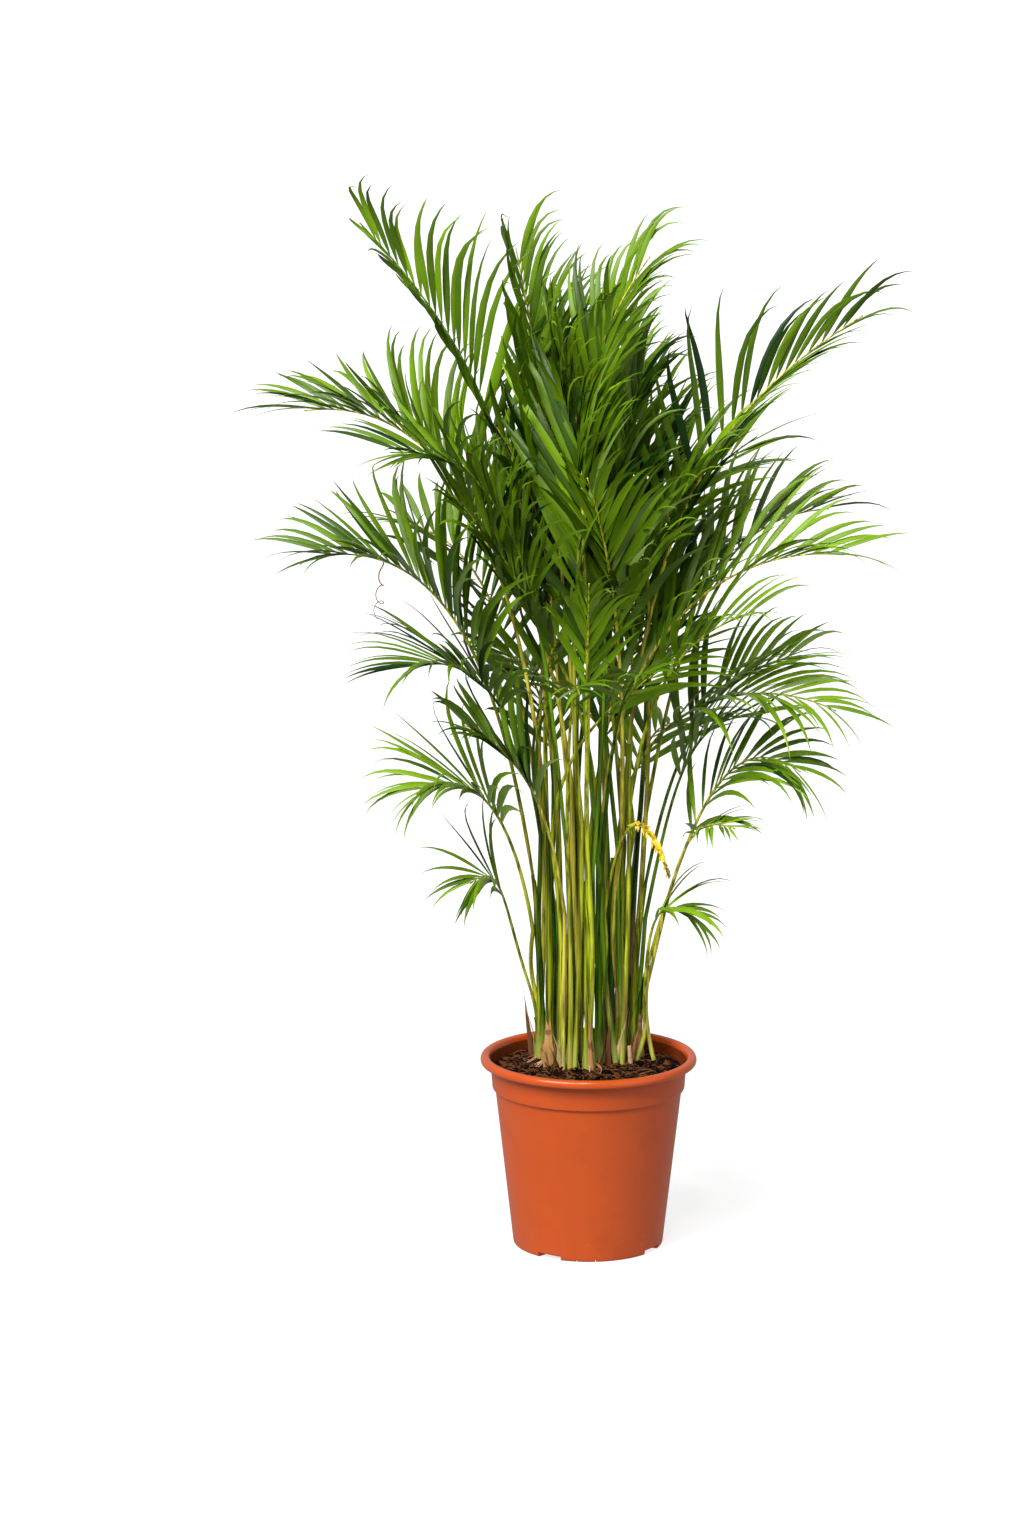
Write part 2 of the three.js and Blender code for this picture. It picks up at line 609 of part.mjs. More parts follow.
// Dead shoots and sheaths: short tubes whose width follows three radii
function buildDeadParts(lines) {
  Object.entries(DEAD_PARTS).forEach(([name, part]) => {
    const foot = new THREE.Vector3(...part.foot, SOIL_TOP + CLEAR);
    const top = new THREE.Vector3(...part.top);
    const pointAt = (t) => foot.clone().lerp(top, t);
    const [low, middle, high] = part.radii;
    const radiusAt = (t) => (t < 0.5 ? lerp(low, middle, t * 2) : lerp(middle, high, t * 2 - 1));
    const geometry = tubeGeometry(pointAt, radiusAt, CANE_SIDES, DEAD_SPANS);
    addPart(name, geometry, COLOURS[part.color], 0.8);
    lines.push(lineOf(pointAt, radiusAt, evenStations(DEAD_SPANS)));
    const solid = toSolid(geometry.clone());
    taken.push({ box: new THREE.Box3().setFromBufferAttribute(geometry.attributes.position), solid });
  });
}

// Ribs are all laid before any leaflet, each bent aside, or started a little
// lower on its cane, until it is clear of the others
function layRibs(fronds, lines) {
  return fronds.map((frond, i) => {
    for (const drop of frond.at === 1 ? [0] : START_DROPS) {
      for (const side of SIDE_STEPS) {
        const rib = ribCurve({ ...frond, at: frond.at - drop }, side);
        const stations = ribStations(frond, rib.length);
        const line = lineOf((t) => rib.curve.getPoint(t), ribRadius, stations);
        if (!lines.some((other, k) => k !== frond.cane - 1 && linesClash(line, other))) {
          lines.push(line);
          return rib;
        }
      }
    }
    throw new Error(`frond ${i + 1} finds no room`);
  });
}

const lines = [];
addPart('pot', potGeometry(), COLOURS.pot, 0.45);
addPart('potting_soil', soilGeometry(), COLOURS.soil, 0.95);
buildCanes(lines);
buildDeadParts(lines);

const fronds = [
  ...FRONDS,
  ...dealtFronds(BACK, BACK.canes.length, 0.21),
  ...dealtFronds(FRONT, FRONT.canes.length, 0.47),
  YELLOW_FROND,
];
const ribs = layRibs(fronds, lines);
fronds.forEach((frond, i) => {
  const bare = frondGeometry(ribs[i], frond, Array.from({ length: frond.pairs }, () => ({})));
  taken.push({ box: boxOf(bare), solid: solidOf(bare), owner: i });
});
fronds.forEach((frond, i) => {
  const own = taken.findIndex((other) => other.owner === i);
  const [held] = taken.splice(own, 1);
  const pairs = chooseLeaflets(ribs[i], frond);
  taken.push(held);
  const surface = frondGeometry(ribs[i], frond, pairs);
  const wilted = frond === YELLOW_FROND;
  const name = wilted ? 'wilted_frond' : `frond_${String(i + 1).padStart(2, '0')}`;
  addPart(name, surface.geometry(), wilted ? COLOURS.yellow : COLOURS.frond, 0.55);
});

export default plant;
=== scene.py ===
"""Potted clumping palm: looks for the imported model.

A tapered plastic grower's pot with bark mix, a clump of slim canes with their sheaths, dry husks
and roots at their feet, and upswept feather fronds whose leaflets are folded, arching blades.
Lengths in the rule that lays the plant out are millimetres, as in the part's source; what a user
would change is in the property groups, in metres.
"""

import math

import bpy
import numpy as np
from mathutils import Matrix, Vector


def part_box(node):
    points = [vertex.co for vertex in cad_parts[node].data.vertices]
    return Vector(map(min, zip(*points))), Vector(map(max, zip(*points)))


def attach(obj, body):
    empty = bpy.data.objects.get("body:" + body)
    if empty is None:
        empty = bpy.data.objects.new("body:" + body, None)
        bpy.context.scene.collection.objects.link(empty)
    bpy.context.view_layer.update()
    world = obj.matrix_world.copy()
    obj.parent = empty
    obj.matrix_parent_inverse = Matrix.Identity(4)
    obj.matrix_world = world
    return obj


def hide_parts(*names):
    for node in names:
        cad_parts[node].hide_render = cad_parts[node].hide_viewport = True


bl_info = {
    "name": "Potted clumping palm",
    "version": (1, 0, 0),
    "blender": (4, 5, 0),
    "location": "View3D > Sidebar > Palm",
    "description": "Builds a potted clumping palm around its packed model",
    "category": "Object",
}

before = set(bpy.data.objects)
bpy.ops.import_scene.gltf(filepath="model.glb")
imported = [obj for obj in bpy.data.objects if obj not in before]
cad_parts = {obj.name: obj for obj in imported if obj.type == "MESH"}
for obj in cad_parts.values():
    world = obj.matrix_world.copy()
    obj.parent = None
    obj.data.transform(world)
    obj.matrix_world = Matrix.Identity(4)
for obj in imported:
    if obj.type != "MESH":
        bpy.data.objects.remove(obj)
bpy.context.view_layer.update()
MM = 0.001
UP = np.array([0.0, 0.0, 1.0])
GOLDEN = 0.6180339887498949
LATTICE = 64
POT_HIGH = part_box("pot")[1]

# Clump, as the part's source gives it: foot x and y, top x, y and z, radius at the foot
CANES = [
    (-59, 42, -67, 46, 292, 4.6),
    (-46, 8, -55, 6, 560, 6.0),
    (-34, 32, -43, 36, 610, 5.0),
    (-20, -5, -27, -18, 480, 5.0),
    (-12, 18, -18, 14, 640, 5.4),
    (0, -14, -4, -30, 560, 5.6),
    (14, 46, 15, 58, 660, 5.0),
    (13, 10, 16, 8, 520, 5.2),
    (27, 62, 36, 78, 480, 4.6),
    (37, 16, 46, 12, 600, 5.4),
    (53, 56, 68, 64, 420, 4.8),
    (60, 30, 70, 28, 330, 4.8),
    (-38, 64, -52, 86, 520, 5.0),
    (-12, 76, -16, 102, 590, 5.2),
    (22, 88, 30, 118, 440, 4.6),
    (-12, 48, -15, 58, 380, 4.6),
    (48, 84, 66, 112, 540, 5.0),
    (-57, 22, -66, 26, 440, 4.8),
]
# Level of the mix at the feet, the clearance between solids, a cane's taper, spans and bow, and
# how far back the middles of the clump and of the crown are
SOIL_TOP = 216
CLEAR = 0.3
CANE_TOP_SHARE = 0.72
CANE_SPANS = 4
CANE_BOW = 4
CLUMP_Y = 30
CROWN_Y = 25


def frond(cane, at, tip, slope, pairs, leaf, lift, bare, pull=0.5):
    """One frond: its cane and the share of it where the frond starts, the rib's tip and its slope
    there in degrees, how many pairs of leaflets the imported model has, their length and lift, the
    share of the rib that is bare, and how far the rib keeps its first direction."""
    return dict(
        cane=cane, at=at, tip=np.array(tip, float), slope=slope, pairs=pairs,
        leaf=leaf, lift=lift, bare=bare, pull=pull,
    )


# Fronds that make the outline, as the part's source gives them
OUTER_FRONDS = [
    frond(3, 1, (-266, 60, 1202), 46, 13, 176, 42, 0.46),
    frond(5, 1, (-86, 30, 1176), 78, 12, 200, 32, 0.34),
    frond(6, 1, (66, -40, 1172), 54, 13, 188, 26, 0.36),
    frond(10, 1, (312, 10, 1100), 32, 14, 182, 46, 0.28),
    frond(2, 1, (-330, 30, 988), -8, 14, 185, 38, 0.34),
    frond(4, 1, (-228, -110, 958), 0, 11, 170, 20, 0.42),
    frond(18, 1, (-312, -30, 828), -6, 13, 178, 36, 0.4),
    frond(2, 0.8, (-206, -80, 706), -12, 9, 145, 14, 0.45),
    frond(4, 0.7, (-146, -70, 636), 28, 7, 128, 26, 0.42),
    frond(18, 0.7, (-196, -30, 552), -22, 9, 138, 20, 0.4, 0.6),
    frond(1, 1, (-140, 10, 432), -34, 7, 104, 8, 0.48, 0.66),
    frond(8, 1, (290, -50, 832), -4, 13, 172, 38, 0.36),
    frond(7, 1, (196, 90, 950), 34, 11, 165, 34, 0.34),
    frond(11, 1, (250, 70, 694), 8, 11, 145, 28, 0.36),
    frond(9, 1, (284, -40, 648), -22, 12, 145, 18, 0.36),
    frond(12, 1, (246, -10, 570), -34, 10, 138, 10, 0.32, 0.66),
    frond(12, 0.8, (166, -90, 520), -6, 5, 72, 10, 0.64, 0.6),
    frond(12, 0.5, (124, -12, 400), -38, 7, 104, 6, 0.48, 0.8),
    frond(6, 0.8, (-4, -170, 818), 50, 9, 120, 22, 0.48),
    frond(4, 0.85, (-14, -168, 690), -18, 7, 95, 16, 0.6),
    frond(8, 0.85, (66, -160, 712), 4, 7, 100, 18, 0.55),
    frond(11, 0.8, (200, -20, 636), -4, 9, 130, 20, 0.42),
    frond(10, 0.8, (190, -90, 772), 16, 10, 145, 30, 0.4),
]
WILTED = frond(8, 0.66, (92, -50, 452), -50, 4, 44, 6, 0.4, 1.75)


def tier(gather, reach, height, *leafage):
    """One ring of dealt fronds: how close they gather, how far and how high their tips are, and
    the slope, pairs, leaf, lift and bare share that each frond takes."""
    return {"gather": gather, "reach": reach, "height": height, "leafage": leafage}


BACK = {
    "canes": [17, 11, 15, 17, 14, 16, 13, 13],
    "middle": 90,
    "spread": 150,
    "salt": 0.21,
    "tiers": [
        tier(1, 305, 830, 2, 12, 165, 32, 0.38),
        tier(0.3, 205, 1090, 46, 12, 182, 36, 0.34),
        tier(0.9, 235, 620, -10, 9, 135, 22, 0.46),
    ],
}
FRONT = {
    "canes": [5, 6, 10, 8, 7],
    "middle": -94,
    "spread": 140,
    "salt": 0.47,
    "tiers": [
        tier(1, 180, 950, 46, 10, 165, 24, 0.42),
        tier(0.8, 92, 1080, 64, 11, 178, 26, 0.38),
    ],
}
# Finer fronds of the crown's inside, which only the looks have
INSIDE = {
    "canes": [5, 7, 10, 3, 8, 14, 6, 2, 9, 16, 7, 5, 10, 3, 13, 17],
    "middle": 0,
    "spread": 360,
    "salt": 0.13,
    "tiers": [
        tier(1, 110, 950, 58, 9, 150, 22, 0.4),
        tier(1, 150, 830, 46, 9, 145, 20, 0.42),
        tier(1, 80, 1055, 70, 9, 160, 22, 0.4),
        tier(1, 130, 770, 40, 8, 125, 16, 0.46),
    ],
}

# Ribs, as the part's source lays them out
RIB_FOOT_R = 3.4
RIB_TIP_R = 1.3
BARE_SPANS = 4
ROOT_SPAN = 9
LONGEST_SPAN = 130
LENGTH_POINTS = 201
LAST_PAIR = 0.97
END_PULL = 0.34
START_LEAN = 3
SIDE_LEAN = 3
TIP_GAP = 0.9
SIDE_GAP = 0.4
SIDE_STEPS = [0, 7, -7, 14, -14, 22, -22, 32, -32, 44, -44, 58, -58]
START_DROPS = [0, 0.07, 0.14, 0.21]
# Play of the dealt fronds in bearing, reach, height and start
SWING_DEG = 10
REACH_PLAY = 0.2
HEIGHT_PLAY = 90
START_HIGH = 0.9
START_PLAY = 0.22

# Dead parts at the foot of the clump: foot x and y, top x, y and z, radius at foot, middle and top
DEAD_PARTS = {
    "cut_stub": ((46, 38), (40, 35, 246), (3.8, 3.4, 3.0)),
    "dead_sheath": ((26, 34), (36, 37, 288), (6.0, 7.0, 2.4)),
    "tan_shoot": ((-31, -21), (-43, -24, 268), (4.6, 3.8, 1.4)),
}
DEAD_SPANS = 4


def length_value(name, description, default):
    """Property for a length in metres."""
    return bpy.props.FloatProperty(name=name, description=description, default=default, unit="LENGTH")


def angle_value(name, description, degrees):
    """Property for an angle, whose default is given in degrees."""
    default = math.radians(degrees)
    return bpy.props.FloatProperty(name=name, description=description, default=default, subtype="ANGLE")


def colour_value(name, description, default):
    """Property for a base colour."""
    return bpy.props.FloatVectorProperty(
        name=name, description=description, default=default, size=3, subtype="COLOR"
    )


def strength_value(name, description, default):
    """Property for the strength of a light."""
    return bpy.props.FloatProperty(name=name, description=description, default=default)


def count_value(name, description, default):
    """Property for a number of things."""
    return bpy.props.IntProperty(name=name, description=description, default=default)


class PalmPotSizes(bpy.types.PropertyGroup):
    """Sizes of the grower's pot."""

    height: length_value("Height", "Height of the pot", POT_HIGH.z)
    rim_radius: length_value("Rim radius", "Outside of the rolled rim", POT_HIGH.x)
    base_radius: length_value("Base radius", "Outside of the foot ring", 0.0885)
    wall: length_value("Wall", "Thickness of the wall", 0.002)
    band_depth: length_value("Band depth", "Depth of the wider band under the rim", 0.04)
    notch_width: angle_value("Notch width", "Width of each drain notch", 20)


class PalmSoilSizes(bpy.types.PropertyGroup):
    """Amounts and sizes of the bark mix."""

    chips: count_value("Chips", "Number of bark chips", 700)
    fibres: count_value("Fibres", "Number of coir fibres", 800)
    chip_length: length_value("Chip length", "Longest bark chip", 0.018)
    lumps: length_value("Lumps", "Height of the lumps in the surface", 0.011)


class PalmFoliageSizes(bpy.types.PropertyGroup):
    """Spacing, width and bends of the leaflets."""

    spacing: length_value("Spacing", "Distance between leaflets along a large rib", 0.0124)
    leaflet_width: length_value("Leaflet width", "Widest leaflet", 0.0103)
    sag: angle_value("Sag", "How far a level leaflet bends down over its length", 18)
    hook: angle_value("Hook", "Bend of the leaflet's last third", 28)
    fold: angle_value("Fold", "Fall of each half of the blade from its midrib", 20)


class PalmColours(bpy.types.PropertyGroup):
    """Base colours."""

    pot: colour_value("Pot", "Moulded plastic", (0.54, 0.076, 0.008))
    leaf_light: colour_value("Light leaf", "Lightest leaflets", (0.195, 0.36, 0.005))
    leaf_deep: colour_value("Deep leaf", "Darkest leaflets", (0.008, 0.038, 0.002))
    cane: colour_value("Cane", "Green sheaths of the canes", (0.19, 0.29, 0.012))
    rib: colour_value("Rib", "Yellowest ribs", (0.56, 0.5, 0.055))
    dry: colour_value("Dry sheath", "Papery dead sheaths", (0.52, 0.28, 0.1))
    soil: colour_value("Soil", "Damp bark mix", (0.007, 0.003, 0.0015))


class PalmStage(bpy.types.PropertyGroup):
    """Camera and lights."""

    lens: bpy.props.FloatProperty(
        name="Lens", description="Focal length", default=112.8, subtype="DISTANCE_CAMERA"
    )
    pitch: angle_value("Pitch", "How far the camera looks down", 11.4)
    camera_place: bpy.props.FloatVectorProperty(
        name="Camera", description="Place of the camera", default=(-0.0903, -5.5, 1.682), size=3,
        subtype="XYZ",
    )
    world_light: strength_value("World light", "Strength of the white surroundings", 0.4)
    key_strength: strength_value("Key light", "Strength of the even key light", 3.7)
    fill_strength: strength_value("Fill light", "Strength of the wide low light from the right", 0.5)
    glint_strength: strength_value("Glint light", "Strength of the small light for the highlights", 0.7)
    floor_glow: strength_value("Floor glow", "Light that the pale floor gives of itself", 0.78)


def unit(vectors):
    """Vectors divided by their lengths, along the last axis."""
    vectors = np.asarray(vectors, float)
    return vectors / np.maximum(np.linalg.norm(vectors, axis=-1, keepdims=True), 1e-12)


def square_to(vectors, axes):
    """Vectors with their part along the axes taken out, and made unit length."""
    along = np.sum(vectors * axes, axis=-1, keepdims=True)
    return unit(vectors - along * axes)


def mixed(low, high, share):
    """low at share 0, high at share 1, straight between."""
    return low + (high - low) * share


def spin(count, salt):
    """Evenly dealt number from 0 to 1: the fraction of count times the golden ratio plus salt."""
    return (count * GOLDEN + salt) % 1.0


def level_unit(x, y):
    """Level unit vector towards x and y."""
    return unit(np.array([x, y, 0.0]))


def circle(angles):
    """Points of the level unit circle at these angles."""
    return np.stack([np.cos(angles), np.sin(angles), 0 * angles], axis=-1)


def turned(first, second, angle):
    """Two square axes, or the parts along them, both turned by an angle: the first goes to
    first cos + second sin, and the second to second cos - first sin."""
    return first * np.cos(angle) + second * np.sin(angle), second * np.cos(angle) - first * np.sin(angle)


def straight(foot, sink, top, share):
    """Point at a share of the straight line to top from a foot that is sunk so far in the mix."""
    start = np.array([*foot, SOIL_TOP - sink])
    return start + (np.array(top) - start) * share[..., None]


def lumps(x, y, cell, seed):
    """Smooth noise from 0 to 1: a seeded lattice of random heights, eased between its corners by
    3u^2 - 2u^3."""
    cells = LATTICE - 1
    lattice = np.random.default_rng(seed).random((LATTICE, LATTICE))
    gx = x / cell + cells / 2
    gy = y / cell + cells / 2
    i = np.floor(gx).astype(int) % cells
    j = np.floor(gy).astype(int) % cells
    u = gx - np.floor(gx)
    v = gy - np.floor(gy)
    u = u * u * (3 - 2 * u)
    v = v * v * (3 - 2 * v)
    low = mixed(lattice[i, j], lattice[i + 1, j], u)
    high = mixed(lattice[i, j + 1], lattice[i + 1, j + 1], u)
    return mixed(low, high, v)


class Surfaces:
    """Closed surfaces gathered into one mesh, each with its own finish."""

    def __init__(self):
        self.points = []
        self.faces = []
        self.finish = []
        self.count = 0

    def add(self, points, polygons, finish=0):
        """Takes points (n, 3) in millimetres and arrays of faces, all of one finish number."""
        points = np.asarray(points, float).reshape(-1, 3)
        for polygon in polygons:
            self.faces.extend((np.asarray(polygon) + self.count).tolist())
            self.finish.extend([finish] * len(polygon))
        self.points.append(points)
        self.count += len(points)

    def piece(self, name, finishes, slot, nodes, sharp):
        """Makes the object, rides it on the body and hides the imported nodes that it stands for."""
        mesh = bpy.data.meshes.new(name)
        mesh.from_pydata((np.concatenate(self.points) * MM).tolist(), [], self.faces)
        for finish in finishes:
            mesh.materials.append(finish)
        mesh.polygons.foreach_set("material_index", self.finish)
        mesh.shade_smooth()
        mesh.set_sharp_from_angle(angle=math.radians(sharp))
        mesh.update()
        made = bpy.data.objects.new(name, mesh)
        bpy.context.scene.collection.objects.link(made)
        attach(made, "root")
        if nodes:
            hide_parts(*nodes)
        return made


def tube(path, radii, across, section, squash=1.0):
    """Closed tube: at each point of the path a ring of the given radius, squashed along its up side.

    A ring's point is path + radius (side cos a + up squash sin a), with side square to the path
    and nearest to across, and up square to both.
    """
    path = np.asarray(path, float)
    along = unit(np.gradient(path, axis=0))
    side = square_to(np.broadcast_to(across, path.shape), along)
    up = np.cross(along, side)
    angles = (np.arange(section) * 2 * math.pi / section)[None, :, None]
    ring = np.cos(angles) * side[:, None] + squash * np.sin(angles) * up[:, None]
    points = path[:, None] + np.asarray(radii, float).reshape(-1, 1, 1) * ring
    return points.reshape(-1, 3), tube_faces(len(path), section)


def tube_faces(rings, section):
    """Quads between neighbouring rings, and one face over each end."""
    i = np.arange(rings - 1)[:, None] * section
    k = np.arange(section)[None, :]
    n = (k + 1) % section
    quads = np.stack([i + k, i + n, i + section + n, i + section + k], axis=-1).reshape(-1, 4)
    low = np.arange(section)[::-1][None, :]
    high = (np.arange(section) + (rings - 1) * section)[None, :]
    return [quads, low, high]


def shell(outer, inner):
    """Closed thin sheet from two like grids (n, m, 3): outer faces out, inner faces in, edges joined."""
    n, m = outer.shape[:2]
    index = np.arange(n * m).reshape(n, m)
    face = np.stack([index[:-1, :-1], index[:-1, 1:], index[1:, 1:], index[1:, :-1]], axis=-1)
    face = face.reshape(-1, 4)
    back = face[:, ::-1] + n * m
    edge = np.concatenate([index[0, :-1], index[:-1, -1], index[-1, :0:-1], index[:0:-1, 0]])
    after = np.roll(edge, -1)
    rim = np.stack([after, edge, edge + n * m, after + n * m], axis=-1)
    return np.concatenate([outer.reshape(-1, 3), inner.reshape(-1, 3)]), [face, back, rim]


def rounded(corners, steps):
    """Outline with its corners rounded: corner (a, b, r) becomes an arc that meets both sides
    at the distance r from the corner, as a quadratic curve with the corner as its handle."""
    corners = np.array(corners, float)
    line = [corners[0, :2]]
    for last, here, after in zip(corners[:-2], corners[1:-1], corners[2:]):
        point, reach = here[:2], here[2]
        start = point + unit(last[:2] - point) * min(reach, np.linalg.norm(last[:2] - point) * 0.5)
        end = point + unit(after[:2] - point) * min(reach, np.linalg.norm(after[:2] - point) * 0.5)
        if reach == 0:
            line.append(point)
            continue
        for t in np.linspace(0, 1, steps):
            line.append((1 - t) ** 2 * start + 2 * t * (1 - t) * point + t * t * end)
    line.append(corners[-1, :2])
    return np.array(line)


def lathe(profile, angles):
    """Closed turned surface: a profile (r, z) from the axis under it, out, up and back to the axis
    on top, carried round the angles, so its point is (r cos a, r sin a, z).

    Returns its rings (profile, angle, 3), its two poles and its faces.
    """
    count = len(angles)
    radius = profile[1:-1, :1]
    height = profile[1:-1, 1:]
    rings = np.stack([radius * np.cos(angles), radius * np.sin(angles), height + 0 * angles], axis=-1)
    quads, _, _ = tube_faces(len(rings), count)
    k = np.arange(count)
    n = (k + 1) % count
    low = len(rings) * count
    last = low - count
    under = np.stack([np.full(count, low), n, k], axis=-1)
    top = np.stack([np.full(count, low + 1), last + k, last + n], axis=-1)
    poles = np.array([[0, 0, profile[0, 1]], [0, 0, profile[-1, 1]]])
    return rings, poles, [quads, under, top]


class Map:
    """A socket of a material's tree, so that sums and products of maps read as plain Python."""

    def __init__(self, finish, socket):
        self.finish = finish
        self.socket = socket

    def maths(self, operation, first, second):
        """Math node of two numbers or maps."""
        return self.finish.node("ShaderNodeMath", {0: first, 1: second}, operation=operation)

    def __add__(self, other):
        return self.maths("ADD", self, other)

    def __radd__(self, other):
        return self.maths("ADD", other, self)

    def __sub__(self, other):
        return self.maths("SUBTRACT", self, other)

    def __rsub__(self, other):
        return self.maths("SUBTRACT", other, self)

    def __mul__(self, other):
        return self.maths("MULTIPLY", self, other)

    def __rmul__(self, other):
        return self.maths("MULTIPLY", other, self)


class Finish:
    """One material: its constants on the shader's own sockets, its maps by node and mix."""

    NOISE_ROUGHNESS = 0.55

    def __init__(self, name, colour, roughness, specular):
        self.material = bpy.data.materials.new(name)
        self.material.use_nodes = True
        self.tree = self.material.node_tree
        self.shader = self.tree.nodes["Principled BSDF"]
        self.set("Base Color", (*colour, 1))
        self.set("Roughness", roughness)
        self.set("Specular IOR Level", specular)

    def set(self, name, value):
        """Sets or links one of the shader's sockets."""
        self.feed(self.shader.inputs[name], value)

    def feed(self, socket, value):
        """Links a map to a socket, or sets the socket's own value."""
        if isinstance(value, Map):
            self.tree.links.new(value.socket, socket)
        else:
            socket.default_value = value

    def node(self, kind, inputs=None, output=0, stops=None, **settings):
        """Adds a node: its settings first, then the values or links of its sockets."""
        made = self.tree.nodes.new(kind)
        for key, value in settings.items():
            setattr(made, key, value)
        if stops:
            ramp = made.color_ramp
            while len(ramp.elements) < len(stops):
                ramp.elements.new(0.5)
            for element, (place, colour) in zip(ramp.elements, stops):
                element.position = place
                element.color = (*colour, 1)
        for key, value in (inputs or {}).items():
            self.feed(made.inputs[key], value)
        return Map(self, made.outputs[output])

    def spot(self):
        """Object coordinates."""
        return self.node("ShaderNodeTexCoord", output="Object")

    def noise(self, scale, detail=3, stretch=(1, 1, 1)):
        """Noise from about 0 to 1 at so many lumps a metre, and so many times that along each axis."""
        place = self.node("ShaderNodeMapping", {"Vector": self.spot(), "Scale": stretch})
        inputs = {"Vector": place, "Scale": scale, "Detail": detail, "Roughness": self.NOISE_ROUGHNESS}
        return self.node("ShaderNodeTexNoise", inputs)

    def ramp(self, value, *stops):
        """Colours by a value, with stops of a place and a colour."""
        return self.node("ShaderNodeValToRGB", {0: value}, stops=stops)

    def mask(self, value, low, high):
        """0 below low, 1 above high, eased between."""
        inputs = {"Value": value, "From Min": low, "From Max": high}
        return self.node("ShaderNodeMapRange", inputs, interpolation_type="SMOOTHSTEP")

    def mix(self, first, second, factor):
        """First colour to second colour by the factor."""
        colours = {6: self.colour(first), 7: self.colour(second), 0: factor}
        return self.node("ShaderNodeMix", colours, output=2, data_type="RGBA")

    def colour(self, value):
        """A colour as a socket takes it: a map as it is, or three numbers with an alpha of 1."""
        return value if isinstance(value, Map) else (*value, 1)

    def height(self):
        """Height above the floor in metres."""
        return self.node("ShaderNodeSeparateXYZ", {0: self.spot()}, output="Z")

    def relief(self, height, depth, strength, under=None):
        """Bump of the given depth in metres."""
        inputs = {"Height": height, "Distance": depth, "Strength": strength}
        if under is not None:
            inputs["Normal"] = under
        return self.node("ShaderNodeBump", inputs)


def toned(colour, factor):
    """A colour made lighter or darker."""
    return tuple(min(1.0, c * factor) for c in colour)


def blended(first, second, share):
    """Straight blend of two plain colours."""
    return tuple(a + (b - a) * share for a, b in zip(first, second))


# Heights in metres between which a finish changes
DUSTY_FOOT = (0.004, 0.05)
SHINY_RIM = (0.212, 0.218)
PALE_FOOT = (0.222, 0.27)
DRY_PATCHES = (0.24, 0.42)
# Painted shade: canes and ribs are toned darker below the first height, easing off by the second, under the
# crown
SHADE_UNDER_CROWN = (0.45, 0.85)
# Plain tones that a finish has besides its own colour
DUST = (0.6, 0.33, 0.2)
TAN_BARK = (0.22, 0.095, 0.034)
BROWN_BANDS = (0.16, 0.06, 0.025)


def plastic_finish(name, colour):
    """Satin moulded plastic: cloudy tint, fine moulded grain, dust near the foot, a shinier rim."""
    finish = Finish(name, colour, 0.36, 0.45)
    cloud = finish.noise(9, 4)
    fine = finish.noise(160, 3)
    above = finish.height()
    base = finish.mix(toned(colour, 0.86), toned(colour, 1.1), cloud)
    base = finish.mix(base, toned(colour, 0.8), finish.mask(finish.noise(30, 5), 0.46, 0.74) * 0.4)
    low = 1 - finish.mask(above, *DUSTY_FOOT)
    scuff = finish.mask(finish.noise(70, 5), 0.62, 0.74) * low
    base = finish.mix(base, DUST, scuff * 0.3)
    finish.set("Base Color", base)
    finish.set("Roughness", 0.34 + 0.12 * cloud + 0.1 * scuff - 0.2 * finish.mask(above, *SHINY_RIM))
    grain = finish.relief(fine, 0.00012, 0.5)
    finish.set("Normal", finish.relief(finish.noise(900, 2), 0.00005, 0.5, grain))
    return finish.material


def soil_finish(name, colour, spread):
    """Damp bark: brown broken by lighter and nearly black specks, with a crumbly relief."""
    finish = Finish(name, colour, 0.9, 0.04)
    speck = finish.noise(420, 4)
    patch = finish.noise(60, 3)
    base = finish.ramp(
        speck * 0.6 + patch * 0.4,
        (0.3, toned(colour, 0.35)),
        (0.48, colour),
        (0.62, toned(colour, 1 + spread)),
        (0.75, blended(toned(colour, 2 + spread), TAN_BARK, 0.3)),
    )
    finish.set("Base Color", base)
    finish.set("Roughness", 0.78 + 0.2 * speck)
    finish.set("Normal", finish.relief(speck, 0.0012, 0.8))
    return finish.material


def cane_finish(name, colour, foot, dry, dark=0.17, spots=0.5, deep=0.9):
    """Smooth sheath: lengthwise streaks, darker low down under the crown as painted shade, paler at the
    foot, with dry brown patches low down."""
    finish = Finish(name, colour, 0.34, 0.15)
    streak = finish.noise(260, 4, stretch=(1, 1, 0.03))
    patch = finish.noise(30, 4, stretch=(1, 1, 0.3))
    above = finish.height()
    upper = finish.mask(above, *SHADE_UNDER_CROWN)
    # Painted shade: below the crown both kinds of streak are toned darker by deep
    dull = finish.mix(toned(colour, dark * deep), toned(colour, dark), upper)
    bright = finish.mix(toned(colour, 1.75 * deep), toned(colour, 1.6), upper)
    base = finish.mix(dull, bright, finish.mask(streak, 0.34, 0.66))
    base = finish.mix(base, foot, (1 - finish.mask(above, *PALE_FOOT)) * 0.5)
    low = 1 - finish.mask(above, *DRY_PATCHES)
    base = finish.mix(base, dry, finish.mask(patch, 0.56, 0.62) * low * (1.5 * spots))
    base = finish.mix(base, toned(dry, 0.3), finish.mask(finish.noise(240, 3), 0.7, 0.76) * spots)
    finish.set("Base Color", base)
    finish.set("Roughness", 0.3 + 0.22 * patch)
    finish.set("Normal", finish.relief(streak, 0.00035, 0.5))
    return finish.material


